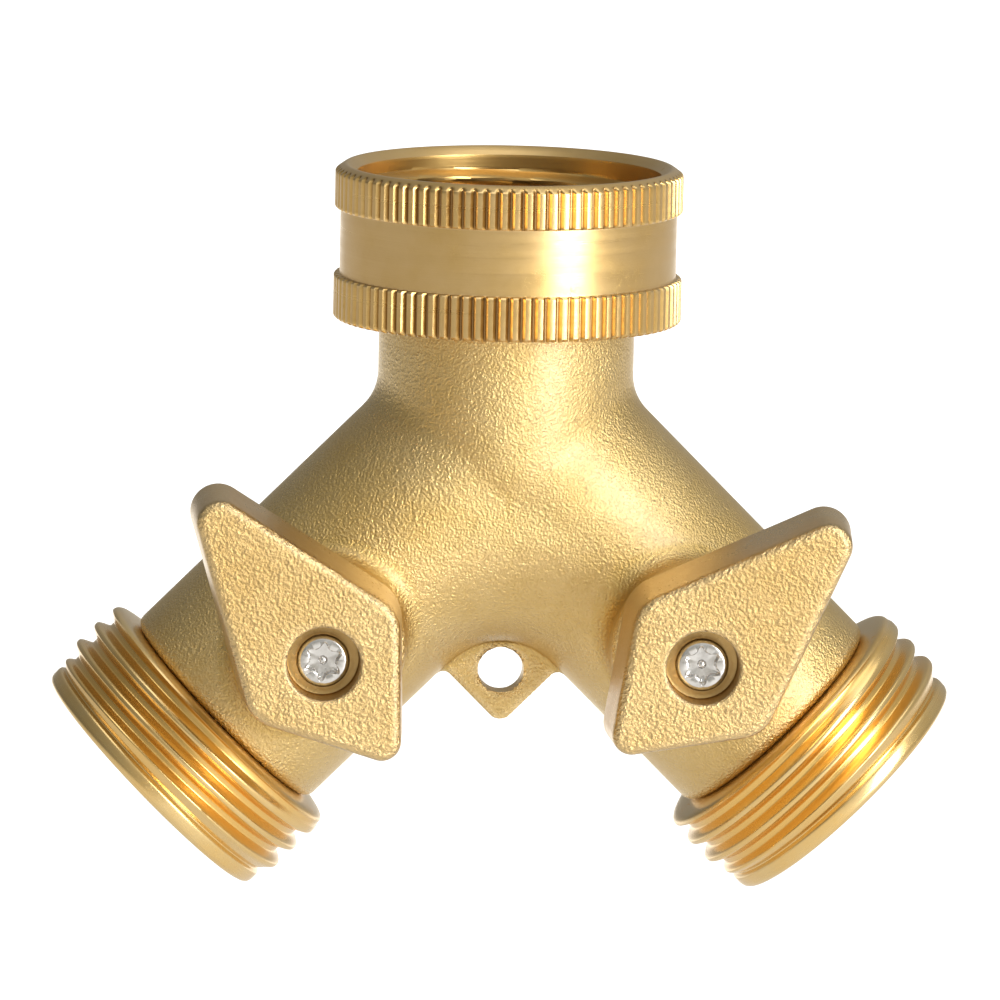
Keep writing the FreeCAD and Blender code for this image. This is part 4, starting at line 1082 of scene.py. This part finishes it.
@made_once("Worn edge")
def worn_edge(name):
    """Where handling has polished the raised edges: the edge attribute broken up by small patches."""
    tree, given, board = group(name, [("Position", VECTOR, None), ("Edge", FLOAT, 0.0)], [("Mask", FLOAT)])
    broken = board.ramp(board.noise(given["Position"], 650.0, 3.0), 0.3, 0.6, 0.35, 1.0)
    put_out(tree, Mask=board.math("MULTIPLY", given["Edge"], broken, clamp=True))
    return tree


@made_once("Scratches")
def scratches(name):
    """Sparse hairlines and pits from use: thin bands of stretched noise, and the cores of small cells."""
    tree, given, board = group(
        name, [("Position", VECTOR, None), ("Pits per metre", FLOAT, 420.0)],
        [("Height", FLOAT), ("Mark", FLOAT)]
    )
    turned = board.add(
        "ShaderNodeMapping",
        {"Vector": given["Position"], "Rotation": (0.5, 0.3, 0.9), "Scale": (1.0, 0.06, 1.0)}
    ).outputs[0]
    hair = board.ramp(
        board.math("ABSOLUTE", board.math("SUBTRACT", board.noise(turned, 1500.0, 2.0), 0.5)), 0.0,
        0.012, 1.0, 0.0
    )
    sparse = board.ramp(board.noise(given["Position"], 170.0, 2.0), 0.56, 0.66)
    cells = board.add(
        "ShaderNodeTexVoronoi", {"Vector": given["Position"], "Scale": given["Pits per metre"]}
    ).outputs["Distance"]
    pit = board.math(
        "MULTIPLY", board.ramp(cells, 0.05, 0.13, 1.0, 0.0),
        board.ramp(board.noise(given["Position"], 120.0, 1.0), 0.5, 0.6)
    )
    mark = board.math("ADD", board.math("MULTIPLY", hair, sparse), pit, clamp=True)
    put_out(tree, Height=board.math("MULTIPLY", mark, -1.0), Mark=mark)
    return tree


def use_group(board, tree, inputs):
    """Place a node group in a material with its own values; returns its output sockets."""
    return board.add("ShaderNodeGroup", inputs, node_tree=tree).outputs


def new_material(name, metallic, roughness):
    """A material with a Principled shader, its own Board, and the position and attributes of its piece."""
    material = bpy.data.materials.new(name)
    material.use_nodes = True
    board = Board(material.node_tree)
    shader = material.node_tree.nodes["Principled BSDF"]
    shader.inputs["Metallic"].default_value = metallic
    shader.inputs["Roughness"].default_value = roughness
    if metallic:
        shader.inputs["Coat Weight"].default_value = COAT_WEIGHT
        shader.inputs["Coat IOR"].default_value = COAT_IOR
        shader.inputs["Coat Roughness"].default_value = roughness
    return material, board, shader


def attribute(board, name, output="Fac"):
    return board.add("ShaderNodeAttribute", attribute_name=name).outputs[output]


def wire(board, shader, tint, rough, height, depth):
    """Give a shader its colour, its roughness and its small relief: height times depth, in metres."""
    bump = board.add("ShaderNodeBump", {"Height": height, "Distance": depth, "Strength": 1.0})
    for name, value in (("Base Color", tint), ("Roughness", rough), ("Normal", bump.outputs["Normal"])):
        board.give(value, shader.inputs[name])


def blasted_brass(name, pale, deep, grain, depth, roughness, face=None):
    """Brass blasted to an even grain: bright flecks, soft patches, polished edges, deeper hollows. Where
    a face's height is given only that face is blasted and the sides below it stay smooth."""
    material, board, shader = new_material(name, 1.0, roughness)
    place = attribute(board, "own", "Vector")
    grains = use_group(board, blasted_grain(), {"Position": place, "Grains per metre": 1 / grain})
    edge = use_group(board, worn_edge(), {"Position": place, "Edge": attribute(board, "edge")})["Mask"]
    # Hollows: painted shade.
    hollow_shade = attribute(board, "shade_mask")
    valley = board.ramp(grains["Height"], 0.75, 1.05, 0.6, 0.0)
    inputs = {"Position": place, "Pale": (*pale, 1), "Deep": (*deep, 1), "Patches per metre": 110.0}
    inputs |= {"Edge": edge, "Hollow shade": hollow_shade, "Variation": valley}
    height = grains["Height"]
    if face:
        level = board.add("ShaderNodeSeparateXYZ", {0: place}).outputs["Z"]
        side = board.ramp(level, face - 0.8 * MM, face - 0.25 * MM, 1.0, 0.0)
        # Painted shade: the sides and the screw's well below the face turn a little brown.
        inputs["Painted shade"] = board.math("MULTIPLY", side, 0.06)
        flat = board.math("SUBTRACT", 1.0, board.math("MULTIPLY", side, 0.85))
        height = board.math("MULTIPLY", height, flat)
    tone = use_group(board, brass_tone(), inputs)
    rough = board.ramp(tone["Patch"], 0.3, 0.7, roughness - 0.05, roughness + 0.06)
    rough = board.math("SUBTRACT", rough, board.math("MULTIPLY", grains["Fleck"], 0.07))
    rough = board.math("SUBTRACT", rough, board.math("MULTIPLY", edge, 0.08), clamp=True)
    wire(board, shader, tone["Colour"], rough, height, depth)
    return material


def cast_brass(finish):
    """Pale gold, finely blasted."""
    return blasted_brass("cast_brass", finish.cast_pale, finish.cast_deep, finish.body_grain, 0.00015, 0.34)


def handle_brass(finish):
    """A little redder and more coarsely blasted than the body."""
    return blasted_brass(
        "handle_brass", finish.handle_pale, finish.handle_deep, finish.handle_grain, 0.00022, 0.34,
        HANDLE_FACE * MM
    )


def lathe_brass(name, pale, deep, lines, depth, roughness, hollow_shade_share, root_shade):
    """Turned brass: fine lines round the axis, hollows deeper in colour, a few scratches and pits."""
    material, board, shader = new_material(name, 1.0, roughness)
    place = attribute(board, "own", "Vector")
    cuts = use_group(board, turned_lines(), {"Position": place, "Lines per metre": lines})
    wear = use_group(board, scratches(), {"Position": place})
    edge = use_group(board, worn_edge(), {"Position": place, "Edge": attribute(board, "edge")})["Mask"]
    # Painted shade in hollows.
    hollow_shade = board.math("MULTIPLY", attribute(board, "shade_mask"), hollow_shade_share)
    inputs = {"Position": place, "Pale": (*pale, 1), "Deep": (*deep, 1), "Patches per metre": 160.0}
    # Painted shade: the deepest hollows, the knurl's roots on the nut, turn brown.
    root = board.ramp(attribute(board, "shade_mask"), 0.5, 1.0, 0.0, root_shade)
    inputs |= {"Edge": edge, "Hollow shade": hollow_shade, "Variation": wear["Mark"], "Painted shade": root}
    tone = use_group(board, brass_tone(), inputs)
    rough = board.ramp(cuts["Tone"], 0.3, 0.7, roughness - 0.04, roughness + 0.05)
    rough = board.math("ADD", rough, board.math("MULTIPLY", wear["Mark"], 0.2), clamp=True)
    height = board.math("ADD", cuts["Height"], board.math("MULTIPLY", wear["Height"], 0.8))
    wire(board, shader, tone["Colour"], rough, height, depth)
    return material


def turned_brass(finish):
    """The nut: close satin lines, teeth darker at the root, deeper gold inside the mouth."""
    return lathe_brass(
        "turned_brass", finish.turned_pale, finish.turned_deep, 7000.0, 0.00001, 0.31, 1.6, 0.8
    )


def thread_brass(finish):
    """The outlets: bright machined thread, pale on the crests and deep orange in the grooves."""
    return lathe_brass(
        "thread_brass", finish.thread_pale, finish.thread_deep, 5200.0, 0.000005, 0.26, 1.0, 0.0
    )


def chromed(finish, name, roughness, depth):
    """Bright chrome with faint haze, hairlines and pits."""
    material, board, shader = new_material(name, 1.0, roughness)
    place = board.add("ShaderNodeTexCoord").outputs["Object"]
    wear = use_group(board, scratches(), {"Position": place, "Pits per metre": 900.0})
    haze = board.noise(place, 900.0, 3.0)
    shade = board.math(
        "ADD", board.ramp(haze, 0.35, 0.7, 0.0, 0.35), board.math("MULTIPLY", wear["Mark"], 0.5),
        clamp=True
    )
    dull = [part * 0.55 for part in finish.chrome]
    tint = board.mixed(shade, (*finish.chrome, 1), (*dull, 1))
    rough = board.ramp(haze, 0.3, 0.7, roughness - 0.06, roughness + 0.1)
    wire(board, shader, tint, rough, board.math("ADD", haze, wear["Height"]), depth)
    return material


def stem_brass(finish):
    """Turned valve stem, read on Object coordinates because it keeps its CAD mesh."""
    material, board, shader = new_material("stem_brass", 1.0, 0.3)
    place = board.add("ShaderNodeTexCoord").outputs["Object"]
    lines = board.add("ShaderNodeMapping", {"Vector": place, "Rotation": (math.pi / 2, 0, 0)}).outputs[0]
    cuts = use_group(board, turned_lines(), {"Position": lines, "Lines per metre": 9000.0})
    inputs = {"Position": place, "Pale": (*finish.turned_pale, 1), "Deep": (*finish.turned_deep, 1)}
    tone = use_group(board, brass_tone(), inputs)
    rough = board.ramp(cuts["Tone"], 0.3, 0.7, 0.24, 0.38)
    wire(board, shader, tone["Colour"], rough, cuts["Height"], 0.000012)
    return material


def spring_steel():
    """Grey drawn wire with faint draw marks."""
    material, board, shader = new_material("spring_steel", 1.0, 0.35)
    place = board.add("ShaderNodeTexCoord").outputs["Object"]
    marks = board.noise(place, 2600.0, 3.0)
    dark = board.ramp(marks, 0.3, 0.75)
    tint = board.mixed(dark, (0.42, 0.42, 0.43, 1), (0.2, 0.2, 0.21, 1))
    wire(board, shader, tint, board.ramp(marks, 0.3, 0.7, 0.28, 0.45), marks, 0.00002)
    return material


def soft_solid(name, pale, deep, roughness, scale, depth):
    """Rubber or PTFE: a matt moulded skin, mottled and finely pitted."""
    material, board, shader = new_material(name, 0.0, roughness)
    place = board.add("ShaderNodeTexCoord").outputs["Object"]
    skin_noise = board.noise(place, scale, 4.0, 0.6)
    bloom = board.noise(place, 160.0, 3.0)
    share = board.math(
        "ADD", board.ramp(bloom, 0.35, 0.7, 0.0, 0.7), board.ramp(skin_noise, 0.5, 0.8, 0.0, 0.4),
        clamp=True
    )
    rough = board.ramp(bloom, 0.3, 0.7, roughness - 0.08, roughness + 0.08)
    wire(board, shader, board.mixed(share, (*pale, 1), (*deep, 1)), rough, skin_noise, depth)
    return material


class HOSE_SPLITTER_OT_inner_parts(bpy.types.Operator):
    """Give the stems, balls, seats, seals, washer and retaining ring their finishes"""

    bl_idname = "hose_splitter.inner_parts"
    bl_label = "Inner parts"

    def execute(self, context):
        finish = context.scene.hose_splitter.finish
        rubber = soft_solid(
            "black_rubber", (0.028, 0.028, 0.029), (0.012, 0.012, 0.012), 0.55, 2400.0, 0.00003
        )
        ptfe = soft_solid("white_ptfe", (0.82, 0.82, 0.80), (0.7, 0.7, 0.67), 0.42, 1800.0, 0.000015)
        finishes = {
            "nut_retaining_ring": spring_steel(),
            "inlet_washer": rubber,
            "ball": chromed(finish, "chromed_ball", 0.1, 0.000008),
            "stem": stem_brass(finish),
            "seat": ptfe,
            "thrust_washer": ptfe,
            "o_ring": rubber,
        }
        for name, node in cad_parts.items():
            if node.hide_render:
                continue
            material = next(value for ending, value in finishes.items() if name.endswith(ending))
            node.data.materials.clear()
            node.data.materials.append(material)
        return {"FINISHED"}


# ---- stage, camera and light


def pale_floor(studio):
    """A wide plain floor well below the splitter, glowing white in a strip behind it."""
    size = FLOOR_HALF
    level = DROP_FROM_Z * MM - studio.floor_drop
    corners = np.array(
        [(-size, -size, level), (size, -size, level), (size, size, level), (-size, size, level)]
    )
    mesh = bpy.data.meshes.new("floor")
    mesh.from_pydata(corners.tolist(), [], [(0, 1, 2, 3)])
    floor = bpy.data.objects.new("floor", mesh)
    bpy.context.scene.collection.objects.link(floor)
    material, board, shader = new_material("pale_floor", 0.0, 0.7)
    place = board.add("ShaderNodeTexCoord").outputs["Object"]
    across, along = board.add("ShaderNodeSeparateXYZ", {0: place}).outputs[:2]
    back = board.math("MULTIPLY", board.ramp(along, 0.2, 0.42), board.ramp(along, 2.2, 2.8, 1.0, 0.0))
    aside = board.math("ABSOLUTE", board.math("SUBTRACT", across, 0.05))
    glow = board.math("MULTIPLY", back, board.ramp(aside, 0.3, 0.55, 1.0, 0.0))
    shader.inputs["Base Color"].default_value = (0.82, 0.82, 0.82, 1)
    shader.inputs["Emission Strength"].default_value = 1.0
    board.tree.links.new(
        board.mixed(glow, (0.2, 0.17, 0.13, 1), (1.0, 1.0, 1.0, 1)), shader.inputs["Emission Color"]
    )
    mesh.materials.append(material)


def soft_light(name, azimuth, elevation, away, width, height, power):
    """A soft rectangular light that faces the splitter; azimuth turns from the front to the right."""
    azimuth, elevation = math.radians(azimuth), math.radians(elevation)
    flat = math.cos(elevation)
    direction = Vector((math.sin(azimuth) * flat, -math.cos(azimuth) * flat, math.sin(elevation)))
    light = bpy.data.lights.new(name, "AREA")
    light.shape = "RECTANGLE"
    light.size, light.size_y = width, height
    light.energy = power
    lamp = bpy.data.objects.new(name, light)
    lamp.location = Vector(LIT_POINT) + direction * away
    lamp.rotation_euler = direction.to_track_quat("Z", "Y").to_euler()
    bpy.context.scene.collection.objects.link(lamp)


def room_light(strength):
    """Even light from all round: brighter in front and overhead, dimmer on the left."""
    world = bpy.data.worlds.new("room")
    bpy.context.scene.world = world
    world.use_nodes = True
    board = Board(world.node_tree)
    place = board.add("ShaderNodeTexCoord").outputs["Generated"]
    split = board.add("ShaderNodeSeparateXYZ", {0: place}).outputs
    side = board.ramp(split["X"], -0.9, 0.8, 0.62, 1.4)
    front = board.ramp(split["Y"], -1.0, 0.1, 1.45, 0.95)
    above = board.ramp(split["Z"], 0.0, 1.0, 1.0, 1.3)
    level = board.math(
        "MULTIPLY", board.math("MULTIPLY", side, front), board.math("MULTIPLY", above, strength)
    )
    world.node_tree.links.new(level, world.node_tree.nodes["Background"].inputs["Strength"])
    world.node_tree.nodes["Background"].inputs["Color"].default_value = (1.0, 0.975, 0.88, 1)


def set_camera(studio):
    """Camera on its line of sight, turned by the roll, looking at a point below the junction."""
    flat = math.cos(studio.elevation)
    back = Vector(
        (-math.sin(studio.azimuth) * flat, -math.cos(studio.azimuth) * flat, math.sin(studio.elevation))
    )
    right = Vector((math.cos(studio.azimuth), -math.sin(studio.azimuth), 0))
    up = back.cross(right)
    c, s = math.cos(studio.roll), math.sin(studio.roll)
    right, up = c * right + s * up, c * up - s * right
    place = Vector(LOOK_AT) + back * studio.distance
    data = bpy.data.cameras.new("camera")
    data.lens = studio.lens
    data.sensor_width = SENSOR_WIDTH
    data.clip_start, data.clip_end = 0.05, 60
    camera = bpy.data.objects.new("camera", data)
    camera.matrix_world = Matrix.Translation(place) @ Matrix((right, up, back)).transposed().to_4x4()
    bpy.context.scene.collection.objects.link(camera)
    bpy.context.scene.camera = camera


class HOSE_SPLITTER_OT_stage(bpy.types.Operator):
    """Set up the plain floor, the soft lights and the camera"""

    bl_idname = "hose_splitter.stage"
    bl_label = "Stage"

    def execute(self, context):
        studio = context.scene.hose_splitter.studio
        pale_floor(studio)
        room_light(studio.room_light)
        soft_light("key_light", 39.5, 9, 0.9, 0.36, 0.85, studio.key_light)
        soft_light("front_light", -6, 24, 1.5, 0.9, 0.7, studio.front_light)
        soft_light("top_light", 20, 74, 0.9, 0.9, 0.6, studio.top_light)
        set_camera(studio)
        context.scene.view_settings.view_transform = "Standard"
        return {"FINISHED"}


# ---- add-on


class HOSE_SPLITTER_PT_sidebar(bpy.types.Panel):
    """Lists the steps that build the hose splitter, with its sizes and finishes"""

    bl_idname = "HOSE_SPLITTER_PT_sidebar"
    bl_label = "Hose splitter"
    bl_space_type = "VIEW_3D"
    bl_region_type = "UI"
    bl_category = "Hose splitter"

    def draw(self, context):
        settings = context.scene.hose_splitter
        for step in STEPS:
            self.layout.operator(step.bl_idname)
        for part in ("body", "nut", "outlet", "handle", "screw", "finish", "studio"):
            box = self.layout.box()
            box.label(text=part.capitalize())
            sizes = getattr(settings, part)
            for name in sizes.bl_rna.properties.keys():
                if name not in ("rna_type", "name"):
                    box.prop(sizes, name)


STEPS = (
    HOSE_SPLITTER_OT_body,
    HOSE_SPLITTER_OT_nut,
    HOSE_SPLITTER_OT_outlets,
    HOSE_SPLITTER_OT_handles,
    HOSE_SPLITTER_OT_screws,
    HOSE_SPLITTER_OT_inner_parts,
    HOSE_SPLITTER_OT_stage,
)
GROUPS = (BodySizes, NutSizes, OutletSizes, HandleSizes, ScrewSizes, Finishes, Studio, HoseSplitter)


def register():
    for part in GROUPS + STEPS + (HOSE_SPLITTER_PT_sidebar,):
        bpy.utils.register_class(part)
    bpy.types.Scene.hose_splitter = PointerProperty(type=HoseSplitter)


def unregister():
    del bpy.types.Scene.hose_splitter
    for part in reversed(GROUPS + STEPS + (HOSE_SPLITTER_PT_sidebar,)):
        bpy.utils.unregister_class(part)


def main():
    """Build every piece and the stage, then write the CAD box and the finished model's box."""
    register()
    bpy.ops.hose_splitter.body()
    bpy.ops.hose_splitter.nut()
    bpy.ops.hose_splitter.outlets()
    bpy.ops.hose_splitter.handles()
    bpy.ops.hose_splitter.screws()
    bpy.ops.hose_splitter.inner_parts()
    bpy.ops.hose_splitter.stage()


if __name__ == "__main__":
    main()
